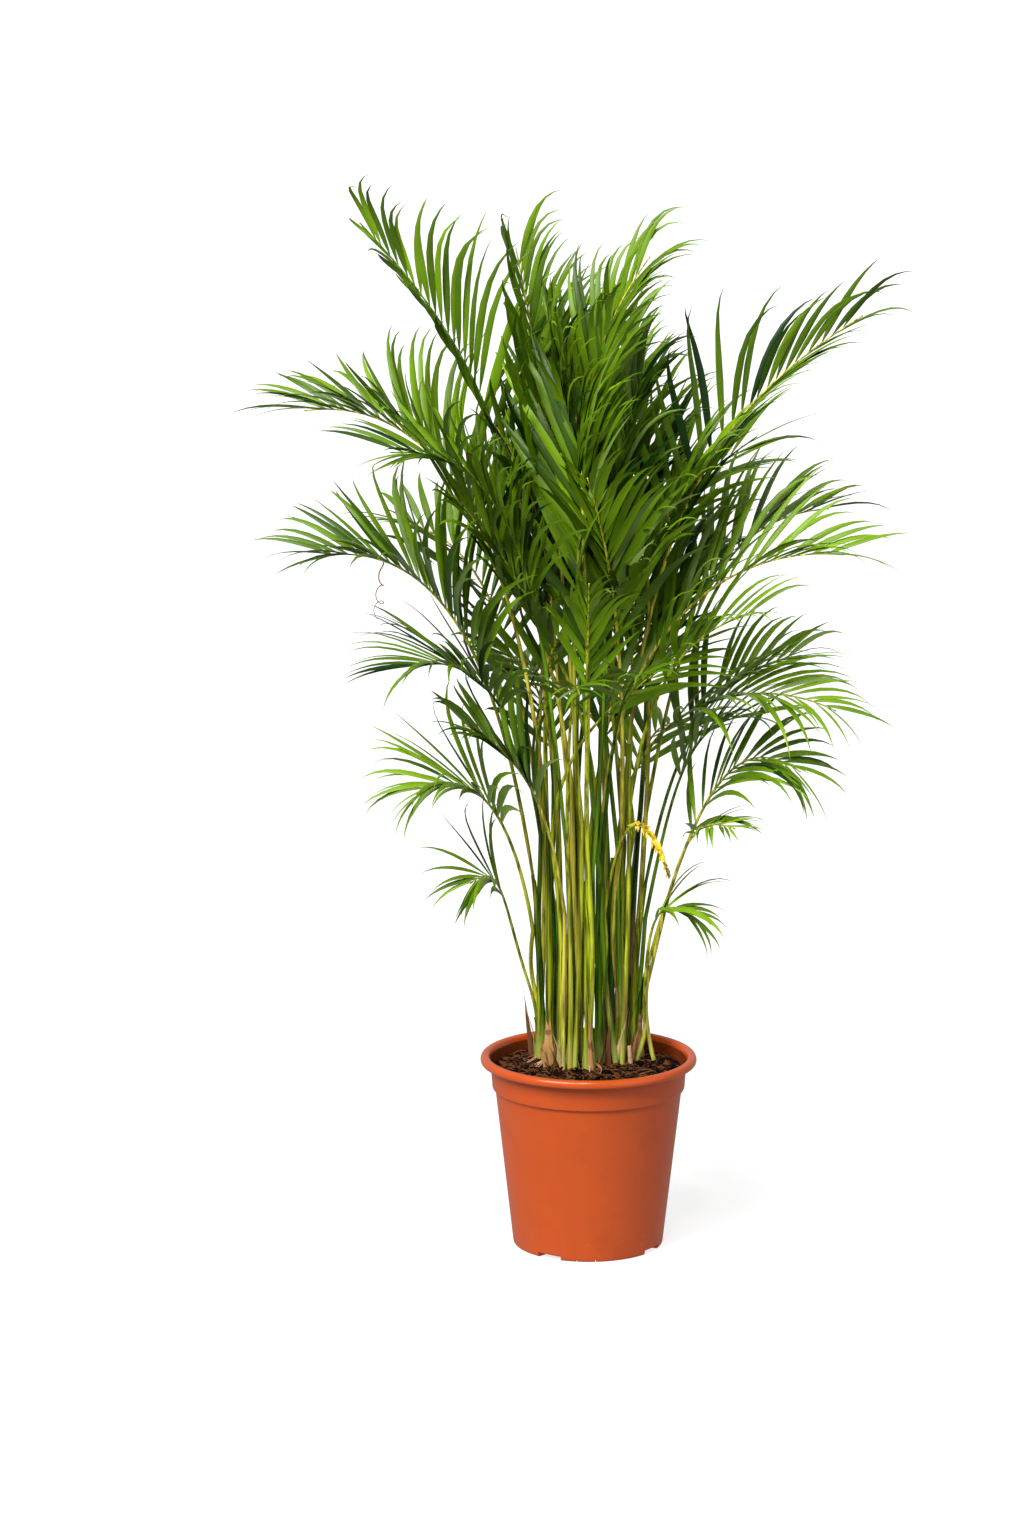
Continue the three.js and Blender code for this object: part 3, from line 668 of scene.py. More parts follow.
def dry_finish(name, colour):
    """Papery dead sheath: tan with brown bands and lengthwise fibres."""
    finish = Finish(name, colour, 0.75, 0.12)
    fibre = finish.noise(520, 4, stretch=(1, 1, 0.05))
    patch = finish.noise(52, 4)
    base = finish.mix(toned(colour, 0.5), toned(colour, 1.3), fibre)
    base = finish.mix(base, BROWN_BANDS, finish.mask(patch, 0.52, 0.66) * 0.8)
    finish.set("Base Color", base)
    finish.set("Normal", finish.relief(fibre, 0.0006, 0.8))
    return finish.material


def leaf_finish(name, colour):
    """Slightly waxy leaf: one plain tone, a little cloudy."""
    finish = Finish(name, colour, 0.45, 0.3)
    cloud = finish.noise(24, 2)
    finish.set("Base Color", finish.mix(toned(colour, 0.7), toned(colour, 1.3), cloud))
    finish.set("Roughness", 0.28 + 0.22 * cloud)
    return finish.material


def cane_point(cane, t):
    """Point on a cane: the straight lean from foot to top, less a slight bow that is 4t(1 - t) deep."""
    t = np.asarray(t, float)[..., None]
    foot = np.array([cane[0], cane[1], SOIL_TOP + CLEAR])
    top = np.array(cane[2:5], float)
    bow = level_unit(cane[0], cane[1] - CLUMP_Y)
    return foot + (top - foot) * t + bow * CANE_BOW * 4 * t * (t - 1)


def cane_radius(cane, t):
    """Radius of a cane, from its foot to its top."""
    return cane[5] * mixed(1, CANE_TOP_SHARE, np.asarray(t, float))


def rib_radius(t):
    """Radius of a rib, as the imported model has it."""
    return mixed(RIB_FOOT_R, RIB_TIP_R, np.sqrt(t))


def bezier(handles, t):
    """Point of a cubic curve: the four handles weighted by (1 - t)^3, 3t(1 - t)^2, 3t^2(1 - t)
    and t^3."""
    t = np.asarray(t, float)[..., None]
    p = handles
    return (1 - t) ** 3 * p[0] + 3 * t * (1 - t) ** 2 * p[1] + 3 * t * t * (1 - t) * p[2] + t**3 * p[3]


def slope_of(handles, t):
    """Direction of a cubic curve."""
    t = np.asarray(t, float)[..., None]
    p = handles
    return unit((1 - t) ** 2 * (p[1] - p[0]) + 2 * t * (1 - t) * (p[2] - p[1]) + t * t * (p[3] - p[2]))


def rib_of(plan, at, side):
    """A rib's curve: it leaves its cane almost along it and ends at the tip with the frond's slope."""
    cane = CANES[plan["cane"] - 1]
    base = cane_point(cane, at)
    along = unit(base - cane_point(cane, at - 0.1))
    out = plan["tip"] - base
    out = level_unit(out[0], out[1])
    across = np.cross(out, UP)
    from_tip = plan["at"] == 1
    offset = cane_radius(cane, at) + 0.5 * RIB_FOOT_R + SIDE_GAP
    start = base + along * TIP_GAP if from_tip else base + out * offset
    lean = math.radians(START_LEAN if from_tip else START_LEAN + SIDE_LEAN)
    leave = along * math.cos(lean) + out * math.sin(lean)
    slope = math.radians(plan["slope"])
    arrive = out * math.cos(slope) + UP * math.sin(slope)
    span = np.linalg.norm(plan["tip"] - start)
    first = start + leave * plan["pull"] * span + across * side
    second = plan["tip"] - arrive * END_PULL * span + across * side
    handles = np.array([start, first, second, plan["tip"]])
    steps = bezier(handles, np.linspace(0, 1, LENGTH_POINTS))
    length = np.sum(np.linalg.norm(np.diff(steps, axis=0), axis=1))
    return {"handles": handles, "across": across, "length": length, "at": at, "out": out, "plan": plan}


def pair_share(plan, share):
    """Share of the rib at a share of its leafy length."""
    return mixed(plan["bare"], LAST_PAIR, share)


def rib_stations(rib):
    """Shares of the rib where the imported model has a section."""
    plan = rib["plan"]
    half = ROOT_SPAN / 2 / rib["length"]
    pairs = pair_share(plan, (np.arange(plan["pairs"]) + 0.5) / plan["pairs"])
    bare = np.arange(BARE_SPANS) / BARE_SPANS * (pairs[0] - half)
    roots = np.stack([pairs - half, pairs + half], axis=1).ravel()
    return np.concatenate([bare, roots, [1.0]])


def gaps_between(one, two):
    """Shortest distance between each straight piece of one line and each of the other.

    It is the length of p1 + s d1 - p2 - t d2, with s and t where both lines are square to it, each
    kept between 0 and 1.
    """
    p1, q1 = one[0][:-1, None], one[0][1:, None]
    p2, q2 = two[0][None, :-1], two[0][None, 1:]
    d1 = q1 - p1
    d2 = q2 - p2
    r = p1 - p2
    a = np.sum(d1 * d1, axis=-1)
    e = np.sum(d2 * d2, axis=-1)
    b = np.sum(d1 * d2, axis=-1)
    c = np.sum(d1 * r, axis=-1)
    f = np.sum(d2 * r, axis=-1)
    bottom = a * e - b * b
    s = np.where(bottom > 1e-9, np.clip((b * f - c * e) / np.where(bottom > 1e-9, bottom, 1), 0, 1), 0)
    t = np.clip((b * s + f) / e, 0, 1)
    s = np.clip((b * t - c) / a, 0, 1)
    return np.linalg.norm(p1 + d1 * s[..., None] - p2 - d2 * t[..., None], axis=-1)


def lines_clash(one, two):
    """Whether two round lines come closer than their radii and the clearance."""
    need = one[1][:-1, None] + two[1][None, :-1] + 2 * CLEAR
    near = np.linalg.norm(one[0][1:, None] - two[0][None, 1:], axis=-1) < 2 * LONGEST_SPAN
    return bool(np.any(near & (gaps_between(one, two) < need)))


def dealt_fronds(group):
    """Fronds of a group dealt evenly round its bearing, with a seeded swing in reach and height."""
    salt = group["salt"]
    count = len(group["canes"])
    dealt = []
    for k in range(count):
        ring = group["tiers"][k % len(group["tiers"])]
        swing = SWING_DEG * (spin(k, salt) - 0.5)
        spread = group["spread"] * ring["gather"] * ((k + 0.5) / count - 0.5)
        bearing = math.radians(group["middle"] + spread + swing)
        reach = ring["reach"] * (1 + REACH_PLAY * (spin(k, salt + 0.3) - 0.5))
        height = ring["height"] + HEIGHT_PLAY * (spin(k, salt + 0.6) - 0.5)
        tip = (math.cos(bearing) * reach, CROWN_Y + math.sin(bearing) * reach, height)
        at = START_HIGH - START_PLAY * spin(k, salt + 0.1)
        dealt.append(frond(group["canes"][k], at, tip, *ring["leafage"]))
    return dealt


def cane_lines():
    """The canes and the dead parts as lines with radii, which the ribs keep clear of."""
    share = np.arange(CANE_SPANS + 1) / CANE_SPANS
    lines = [(cane_point(cane, share), cane_radius(cane, share)) for cane in CANES]
    share = np.arange(DEAD_SPANS + 1) / DEAD_SPANS
    for foot, top, radii in DEAD_PARTS.values():
        lines.append((straight(foot, -CLEAR, top, share), np.interp(share, [0, 0.5, 1], radii)))
    return lines


def laid_ribs():
    """All the ribs by the source's rule: each bent aside, or started lower, until it is clear.

    The outline's fronds come first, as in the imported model, and the crown's inside after them.
    """
    plans = OUTER_FRONDS + dealt_fronds(BACK) + dealt_fronds(FRONT) + [WILTED] + dealt_fronds(INSIDE)
    lines = cane_lines()
    ribs = []
    for plan in plans:
        drops = [0] if plan["at"] == 1 else START_DROPS
        ways = [(drop, side) for drop in drops for side in SIDE_STEPS]
        for drop, side in ways:
            rib = rib_of(plan, plan["at"] - drop, side)
            share = rib_stations(rib)
            line = (bezier(rib["handles"], share), rib_radius(share))
            others = [other for k, other in enumerate(lines) if k != plan["cane"] - 1]
            if not any(lines_clash(line, other) for other in others):
                lines.append(line)
                ribs.append(rib)
                break
        else:
            if len(ribs) <= WILTED_PLACE:
                raise RuntimeError(f"frond {len(ribs) + 1} finds no room")
    return ribs


WILTED_PLACE = len(OUTER_FRONDS) + len(BACK["canes"]) + len(FRONT["canes"])
FROND_NODES = [f"frond_{i + 1:02d}" for i in range(WILTED_PLACE)]
RIBS = laid_ribs()


class PALM_OT_pot(bpy.types.Operator):
    """Turns the grower's pot: foot ring with drain notches, tapered wall, band and rolled rim."""

    bl_idname = "object.palm_pot"
    bl_label = "Pot"

    # Millimetres, degrees for bearings and the slits' width, and the share of a soil brown in the painted
    # shade of the inner wall
    SIDES = 240
    FLOOR_RISE = 6.0
    RING_WIDTH = 12.0
    PAD_R = 20.0
    NOTCH_RISE = 5.5
    NOTCH_FIRST = -122
    NOTCH_COUNT = 4
    SLIT_BEARINGS = (-84.8, -99.5, 4, 95, 184)
    SLIT_WIDTH = 0.9
    SLIT_RISE = 3.4
    WALL_RINGS = (7, 8.5, 11, 18, 50, 95, 140)
    WALL_TOP_R = 110.0
    EDGE_STEP = 0.08
    LIP_DEPTH = 10
    FOOT_INSIDE = 1.9
    SHADE_TINT_SHARE = 0.5
    SHADE_TINT = (0.06, 0.02, 0.008)
    INSIDE_FROM = 150
    INSIDE_TO = 223.5

    def openings(self, notch):
        """Notches and slits of the foot ring: the middle, width and rise of each."""
        middles = [self.NOTCH_FIRST + 360 * i / self.NOTCH_COUNT for i in range(self.NOTCH_COUNT)]
        notches = [(middle, notch, self.NOTCH_RISE) for middle in middles]
        return notches + [(middle, self.SLIT_WIDTH, self.SLIT_RISE) for middle in self.SLIT_BEARINGS]

    def bearings(self, notch):
        """Even bearings, with pairs added where a notch or slit has its upright edges."""
        edges = [middle + side * width / 2 for middle, width, _ in self.openings(notch) for side in (-1, 1)]
        pairs = [edge + side for edge in edges for side in (-self.EDGE_STEP, self.EDGE_STEP)]
        even = np.arange(self.SIDES) * 360 / self.SIDES
        return np.radians(np.unique(np.round(np.concatenate([even, np.mod(pairs, 360)]), 4)))

    def rise(self, angles, notch):
        """Height of the foot ring's lower edge at each bearing."""
        rise = np.zeros(len(angles))
        for middle, width, high in self.openings(notch):
            off = (np.degrees(angles) - middle + 180) % 360 - 180
            rise = np.where(np.abs(off) < width / 2, high, rise)
        return rise

    def profile(self, sizes):
        """Half outline (r, z): pad, foot ring, wall, stepped band, round roll, and down inside."""
        high = sizes.height / MM
        rim = sizes.rim_radius / MM
        base = sizes.base_radius / MM
        wall = sizes.wall / MM
        step = high - sizes.band_depth / MM
        lip = high - self.LIP_DEPTH
        ring = base - self.RING_WIDTH
        floor = self.FLOOR_RISE + wall
        bends = [(mixed(base, self.WALL_TOP_R, z / (step - 1.2)), z, 0) for z in self.WALL_RINGS]
        corners = [
            (0, 0, 0), (self.PAD_R, 0, 0.8), (self.PAD_R + 2, self.FLOOR_RISE, 0.8),
            (ring - 2, self.FLOOR_RISE, 0.8), (ring, 0, 0.6), (base, 0, 2.6), *bends,
            (self.WALL_TOP_R, step - 1.2, 0.7), (110.7, step - 0.2, 0.4), (113.4, step + 0.7, 1.0),
            (115.0, lip - 9, 3), (116.0, lip + 0.6, 1.6), (rim - 1.4, lip - 0.1, 3.0),
            (rim, high - 5.2, 4.2), (rim - 2.4, high, 4.6), (rim - 9.5, high, 3.2),
            (115.8, high - 4.4, 4.0), (113.2, lip - 7, 4), (112.0, step + 1.8, 1.4),
            (108.3, step - 1, 1.2), (base - wall, floor, 3), (0, floor, 0),
        ]
        return rounded(corners, 7)

    def execute(self, context):
        sizes = context.scene.palm_pot
        notch = math.degrees(sizes.notch_width)
        angles = self.bearings(notch)
        rings, poles, faces = lathe(self.profile(sizes), angles)
        foot = sizes.base_radius / MM - self.RING_WIDTH - self.FOOT_INSIDE
        radius = np.linalg.norm(rings[..., :2], axis=-1)
        raised = np.maximum(rings[..., 2], self.rise(angles, notch)[None, :])
        rings[..., 2] = np.where(radius > foot, raised, rings[..., 2])
        surfaces = Surfaces()
        surfaces.add(np.concatenate([rings.reshape(-1, 3), poles]), faces)
        colour = tuple(context.scene.palm_colours.pot)
        # Painted shade: the inner wall under the rim is half as light as the pot and tinted towards a soil
        # brown
        painted_shade = blended(toned(colour, 0.5), self.SHADE_TINT, self.SHADE_TINT_SHARE)
        finishes = [plastic_finish("terracotta_plastic", colour), plastic_finish("painted_shade_plastic", painted_shade)]
        pot = surfaces.piece("grower_pot", finishes, "pot_plastic", ["pot"], 38)
        # Inward faces of the wall under the rim take the painted shade
        for face in pot.data.polygons:
            inward = face.normal.x * face.center.x + face.normal.y * face.center.y < 0
            if inward and self.INSIDE_FROM < face.center.z / MM < self.INSIDE_TO:
                face.material_index = 1
        return {"FINISHED"}


# Top of the mix: its depth under the level of the feet, the mound round the clump, the gutter at
# the wall, and the lumps of three sizes, each with its share, its cell and its seed
MIX_DROP = 3
MOUND = 5.5
MOUND_SPREAD = (62, 58)
MOUND_Y = 34
GUTTER = 6.5
GUTTER_FROM = 92
GUTTER_TO = 114
LUMP_SIZES = ((0.5, 21, 5), (0.32, 8.5, 6), (0.18, 3.6, 7))


def soil_height(x, y, lump):
    """Top of the mix: a mound that falls off as a bell curve, less a gutter that deepens with the
    square of the way to the wall, and lumps of three sizes."""
    wide, deep = MOUND_SPREAD
    mound = MOUND * np.exp(-((x / wide) ** 2 + ((y - MOUND_Y) / deep) ** 2))
    way = np.clip((np.hypot(x, y) - GUTTER_FROM) / (GUTTER_TO - GUTTER_FROM), 0, 1)
    rough = sum(share * lumps(x, y, cell, seed) for share, cell, seed in LUMP_SIZES)
    return SOIL_TOP - MIX_DROP + mound - GUTTER * way**2 + lump * (rough - 0.5)


class PALM_OT_soil(bpy.types.Operator):
    """Fills the pot with bark mix: a lumpy surface, bark chips and coir fibres."""

    bl_idname = "object.palm_soil"
    bl_label = "Bark mix"

    # Millimetres and radians; a chip's half length is the first share of the longest, and up to
    # the second share more
    SIDES = 150
    RINGS = 64
    BED_TOP_R = 112.4
    BED_SIDE = ((0, 8.3), (86, 8.3), (107.8, 188), (111.6, 193))
    BED_EDGE_Z = 206
    BED_EDGE_DROP = 3
    MIX_REACH = 108
    CHIP_LENGTHS = (0.16, 0.34)
    CHIP_TILT = 0.6
    CHIP_RAISED = 0.25
    FIBRE_REACH = 104
    FIBRE_STEPS = 7
    FIBRE_BEND = 0.42
    FIBRE_LIFT = 0.7
    FIBRE_ARCH = 3.2

    def bed(self, lump):
        """Closed body of the mix: the wall's taper below, and rings of soil_height on top."""
        top = [(self.BED_TOP_R * (1 - (i / self.RINGS) ** 1.1), SOIL_TOP) for i in range(self.RINGS)]
        profile = np.array([*self.BED_SIDE, (self.BED_TOP_R, self.BED_EDGE_Z), *top, (0, SOIL_TOP)])
        rings, poles, faces = lathe(profile, np.arange(self.SIDES) * 2 * math.pi / self.SIDES)
        edge = len(self.BED_SIDE)
        upper = rings[edge:]
        rings[edge:, :, 2] = soil_height(upper[..., 0], upper[..., 1], lump)
        rings[edge, :, 2] -= self.BED_EDGE_DROP
        poles[1, 2] = soil_height(np.array(0.0), np.array(0.0), lump)
        return np.concatenate([rings.reshape(-1, 3), poles]), faces

    def chips(self, surfaces, count, longest, lump, random):
        """Bark chips: a twenty-faced flake stretched, jittered and turned for each chip, half sunk.

        A flake's corners are the golden rectangle's four, in each of the three planes. It is tilted
        about its width and then turned about the upright, as turned does.
        """
        golden = (1 + 5**0.5) / 2
        corners = [(a, b, 0) for b in (golden, -golden) for a in (-1, 1)]
        flake = unit([np.roll(corner, axis) for axis in range(3) for corner in corners])
        faces = np.array(
            [
                (0, 11, 5), (0, 5, 1), (0, 1, 7), (0, 7, 10), (0, 10, 11),
                (1, 5, 9), (5, 11, 4), (11, 10, 2), (10, 7, 6), (7, 1, 8),
                (3, 9, 4), (3, 4, 2), (3, 2, 6), (3, 6, 8), (3, 8, 9),
                (4, 9, 5), (2, 4, 11), (6, 2, 10), (8, 6, 7), (9, 8, 1),
            ]
        )
        radius = self.MIX_REACH * np.sqrt(random.random(count))
        bearing = random.random(count) * 2 * math.pi
        x = radius * np.cos(bearing)
        y = radius * np.sin(bearing)
        short, more = self.CHIP_LENGTHS
        long = longest * (short + more * random.random(count) ** 2.2)
        wide = long * random.uniform(0.35, 0.75, count)
        thick = long * random.uniform(0.2, 0.5, count)
        size = np.stack([long, wide, thick], 1)
        shape = flake[None] * random.uniform(0.68, 1.25, (count, 12, 1)) * size[:, None]
        turn = random.random(count) * 2 * math.pi
        tilt = random.uniform(-self.CHIP_TILT, self.CHIP_TILT, count)
        level, rise = turned(shape[..., 0], shape[..., 2], tilt[:, None])
        px, py = turned(level, shape[..., 1], -turn[:, None])
        ground = soil_height(x, y, lump)[:, None] + self.CHIP_RAISED * size[:, 2:3]
        points = np.stack([px + x[:, None], py + y[:, None], rise + ground], axis=-1)
        tones = random.integers(0, 4, count)
        for tone in range(4):
            chosen = points[tones == tone]
            every = faces[None] + len(flake) * np.arange(len(chosen))[:, None, None]
            surfaces.add(chosen, [every.reshape(-1, 3)], tone + 1)

    def fibres(self, count, lump, random):
        """Coir: three-sided threads that wander over the mix, each with a low arch of half a sine."""
        surfaces = Surfaces()
        steps = self.FIBRE_STEPS
        for thread in range(count):
            radius = self.FIBRE_REACH * math.sqrt(random.random())
            bearing = random.random() * 2 * math.pi
            heading = random.random() * 2 * math.pi + np.cumsum(random.normal(0, self.FIBRE_BEND, steps))
            step = random.uniform(1.6, 4.6)
            x = radius * math.cos(bearing) + np.cumsum(np.cos(heading)) * step
            y = radius * math.sin(bearing) + np.cumsum(np.sin(heading)) * step
            inside = np.minimum(1, self.MIX_REACH / np.maximum(np.hypot(x, y), 1))
            x, y = x * inside, y * inside
            arch = np.sin(np.linspace(0, math.pi, steps)) * random.uniform(0, self.FIBRE_ARCH)
            path = np.stack([x, y, soil_height(x, y, lump) + self.FIBRE_LIFT + arch], axis=-1)
            path[:, :2] += random.normal(0, 0.05, (steps, 2))
            thick = random.uniform(0.3, 0.9) * np.linspace(1, 0.5, steps)
            surfaces.add(*tube(path, thick, (0.3, 0.2, 0.93), 3), thread % 2)
        return surfaces

    def execute(self, context):
        sizes = context.scene.palm_soil
        colour = tuple(context.scene.palm_colours.soil)
        random = np.random.default_rng(11)
        lump = sizes.lumps / MM
        surfaces = Surfaces()
        surfaces.add(*self.bed(lump))
        self.chips(surfaces, sizes.chips, sizes.chip_length / MM, lump, random)
        finishes = [
            soil_finish("damp_mix", colour, 0.5),
            soil_finish("dark_bark", toned(colour, 0.5), 0.6),
            soil_finish("brown_bark", (0.018, 0.006, 0.0025), 0.6),
            soil_finish("red_bark", (0.036, 0.011, 0.004), 0.5),
            soil_finish("tan_bark", (0.09, 0.034, 0.011), 0.6),
        ]
        surfaces.piece("bark_mix_bed", finishes, "bark_mix", ["potting_soil"], 34)
        threads = self.fibres(sizes.fibres, lump, random)
        tones = {"coir_tan": (0.15, 0.058, 0.017), "coir_brown": (0.02, 0.007, 0.003)}
        coir = [dry_finish(name, tone) for name, tone in tones.items()]
        threads.piece("coir_fibres", coir, "bark_mix", [], 80)
        return {"FINISHED"}


def cane_finishes(colours):
    """Sheath tones from yellow-green through green and olive to a dark green."""
    green = tuple(colours.cane)
    dry = tuple(colours.dry)
    cream = (0.36, 0.42, 0.08)
    tones = {
        "cane_yellow_green": blended(green, (0.38, 0.44, 0.012), 0.6),
        "cane_green": blended(green, (0.04, 0.17, 0.003), 0.7),
        "cane_olive": blended(green, (0.16, 0.18, 0.006), 0.75),
        "cane_dark": blended(green, (0.015, 0.05, 0.001), 0.9),
    }
    return [cane_finish(name, tone, cream, dry) for name, tone in tones.items()]


# Petioles beside a cane: how many points a path has, how far up its cane it may start, its gap to
# the cane, how much freer its foot and its middle may stand, and how far its foot may turn round
STEM_POINTS = 14
STEM_HIGHEST_START = 0.3
STEM_GAP = 2
STEM_FREE_FOOT = 3
STEM_FOOT_PLAY = 13
STEM_BELLY = 7
STEM_TURN = 230


def stem_paths():
    """Paths of the petioles that rise beside a cane, from the soil to the start of their rib.

    Each point is the cane's own point moved out by the cane's radius, the gap, a part that fades
    from the foot as (1 - way)^1.6 and a belly of sin(pi way). It is moved towards the frond at
    the top, and more and more to one side further down. A petiole from the soil stands freer at
    its foot; one that starts further up comes out of its cane.
    """
    paths = []
    for number, rib in enumerate(RIBS):
        plan = rib["plan"]
        if plan["at"] == 1:
            paths.append(None)
            continue
        cane = CANES[plan["cane"] - 1]
        low = 0.0 if number % 3 else STEM_HIGHEST_START * spin(number, 0.37)
        share = np.linspace(low, rib["at"], STEM_POINTS)
        way = (share - low) / (rib["at"] - low)
        thick = cane_radius(cane, share)
        from_soil = STEM_FREE_FOOT + STEM_FOOT_PLAY * spin(number, 0.9)
        foot = -0.6 * thick - STEM_GAP if low else from_soil
        belly = STEM_BELLY * spin(number, 0.23) * np.sin(math.pi * way)
        gap = thick + STEM_GAP + foot * (1 - way) ** 1.6 + belly
        turn = np.radians(STEM_TURN * (spin(number, 0.71) - 0.5)) * (1 - way)
        direction, _ = turned(rib["out"], np.cross(UP, rib["out"]), turn[:, None])
        path = cane_point(cane, share) + direction * gap[:, None]
        path -= (path[-1] - rib["handles"][0]) * (way**3)[:, None]
        paths.append(path)
    return paths


class PALM_OT_canes(bpy.types.Operator):
    """Grows the canes, with their swollen feet, and the sheaths that clasp them."""

    bl_idname = "object.palm_canes"
    bl_label = "Canes"

    # Millimetres, shares of a radius or of the cane's length, and degrees for the sleeves' turn
    SPANS = 48
    SIDES = 14
    SINK = 9
    SLIM = 0.84
    TAPER = 0.76
    FOOT_SWELL = 0.7
    FOOT_HEIGHT = 24
    UNEVEN = 0.05
    UNEVEN_HEIGHT = 31
    SLEEVE_TURN = 220
    SLEEVES_EACH = 2
    SLEEVE_LENGTH = 0.3
    SLEEVE_PLAY = 0.3
    OVERLAP = 0.2
    OVERLAP_PLAY = 0.12
    FIRST_START = -0.02
    LAST_END = 0.98
    SLEEVE_THICK = 0.45
    SLEEVE_GAP = 0.35
    SLEEVE_LIP = 0.6
    GREEN_ROUND = 0.94
    DRY_ROUND = 0.6
    DRY_SLEEVE = 62
    DRY_EVERY = 5
    DRY_TONE = 4

    def swollen(self, cane, number):
        """Path and radii of a cane: a foot swollen by a bell curve, then a slightly uneven taper."""
        share = np.linspace(0, 1, self.SPANS + 1)
        path = cane_point(cane, share)
        above = share * (cane[4] - SOIL_TOP)
        path[0, 2] -= self.SINK
        foot = self.FOOT_SWELL * np.exp(-((above / self.FOOT_HEIGHT) ** 2))
        swell = self.UNEVEN * np.sin(above / self.UNEVEN_HEIGHT + number)
        radii = cane_radius(cane, share) * self.SLIM * mixed(1, self.TAPER, share) * (1 + foot + swell)
        return path, radii

    def sheath(self, surfaces, path, radius, start, end, bearing, finish, dead):
        """Split sleeve round a path: wide at its foot, its mouth cut slanting towards the bearing.

        Its point is path(t) + r (cos a, sin a), with a from just past the split round to just
        before it, and t running further on the side of the bearing than at the split. A dead
        sleeve goes less far round and ends in a narrow torn point.
        """
        along = np.linspace(0, 1, 14)
        around = np.linspace(-1, 1, 17) * (self.DRY_ROUND if dead else self.GREEN_ROUND) * math.pi
        reach = 0.3 + 0.7 * np.cos(around / 2) ** 1.4
        if dead:
            reach = 0.3 + 0.7 * np.cos(around / 2) ** 12 + 0.16 * np.sin(7.3 * around + 60 * start)
        t = start + (end - start) * along[:, None] * reach[None, :]
        marks = np.linspace(0, 1, len(path))
        centre = np.stack([np.interp(t, marks, path[:, k]) for k in range(3)], axis=-1)
        own = np.interp(t, marks, radius)
        opening = self.SLEEVE_GAP * np.minimum(1, 9 * along[:, None])
        flare = own + opening + self.SLEEVE_LIP * along[:, None] ** 8
        ring = circle(around + bearing)[None]
        outer = centre + ring * (flare + self.SLEEVE_THICK)[..., None]
        inner = centre + ring * flare[..., None]
        surfaces.add(*shell(outer, inner), finish)

    def execute(self, context):
        finishes = cane_finishes(context.scene.palm_colours)
        surfaces = Surfaces()
        sleeves = Surfaces()
        for number, cane in enumerate(CANES):
            path, radii = self.swollen(cane, number)
            tone = int(4 * spin(number, 0.05))
            surfaces.add(*tube(path, radii, (1, 0, 0), self.SIDES), tone)
            start = self.FIRST_START
            bearing = math.radians(-90 + self.SLEEVE_TURN * (spin(number, 0.8) - 0.5))
            for level in range(self.SLEEVES_EACH):
                dead = level == 0 and number % self.DRY_EVERY == 1
                end = start + self.SLEEVE_LENGTH + self.SLEEVE_PLAY * spin(number + 7 * level, 0.15)
                if dead:
                    end = start + self.DRY_SLEEVE / (cane[4] - SOIL_TOP)
                if end > self.LAST_END:
                    break
                around = bearing + math.pi * level
                own = self.DRY_TONE if dead else tone
                self.sheath(sleeves, path, radii, start, end, around, own, dead)
                start = end - self.OVERLAP + self.OVERLAP_PLAY * spin(number, 0.33)
        nodes = [f"cane_{i + 1:02d}" for i in range(len(CANES))]
        surfaces.piece("swollen_canes", finishes, "green_cane", nodes, 60)
        dry = dry_finish("dry_sleeve", tuple(context.scene.palm_colours.dry))
        sleeves.piece("cane_sheaths", [*finishes, dry], "green_cane", [], 60)
        return {"FINISHED"}


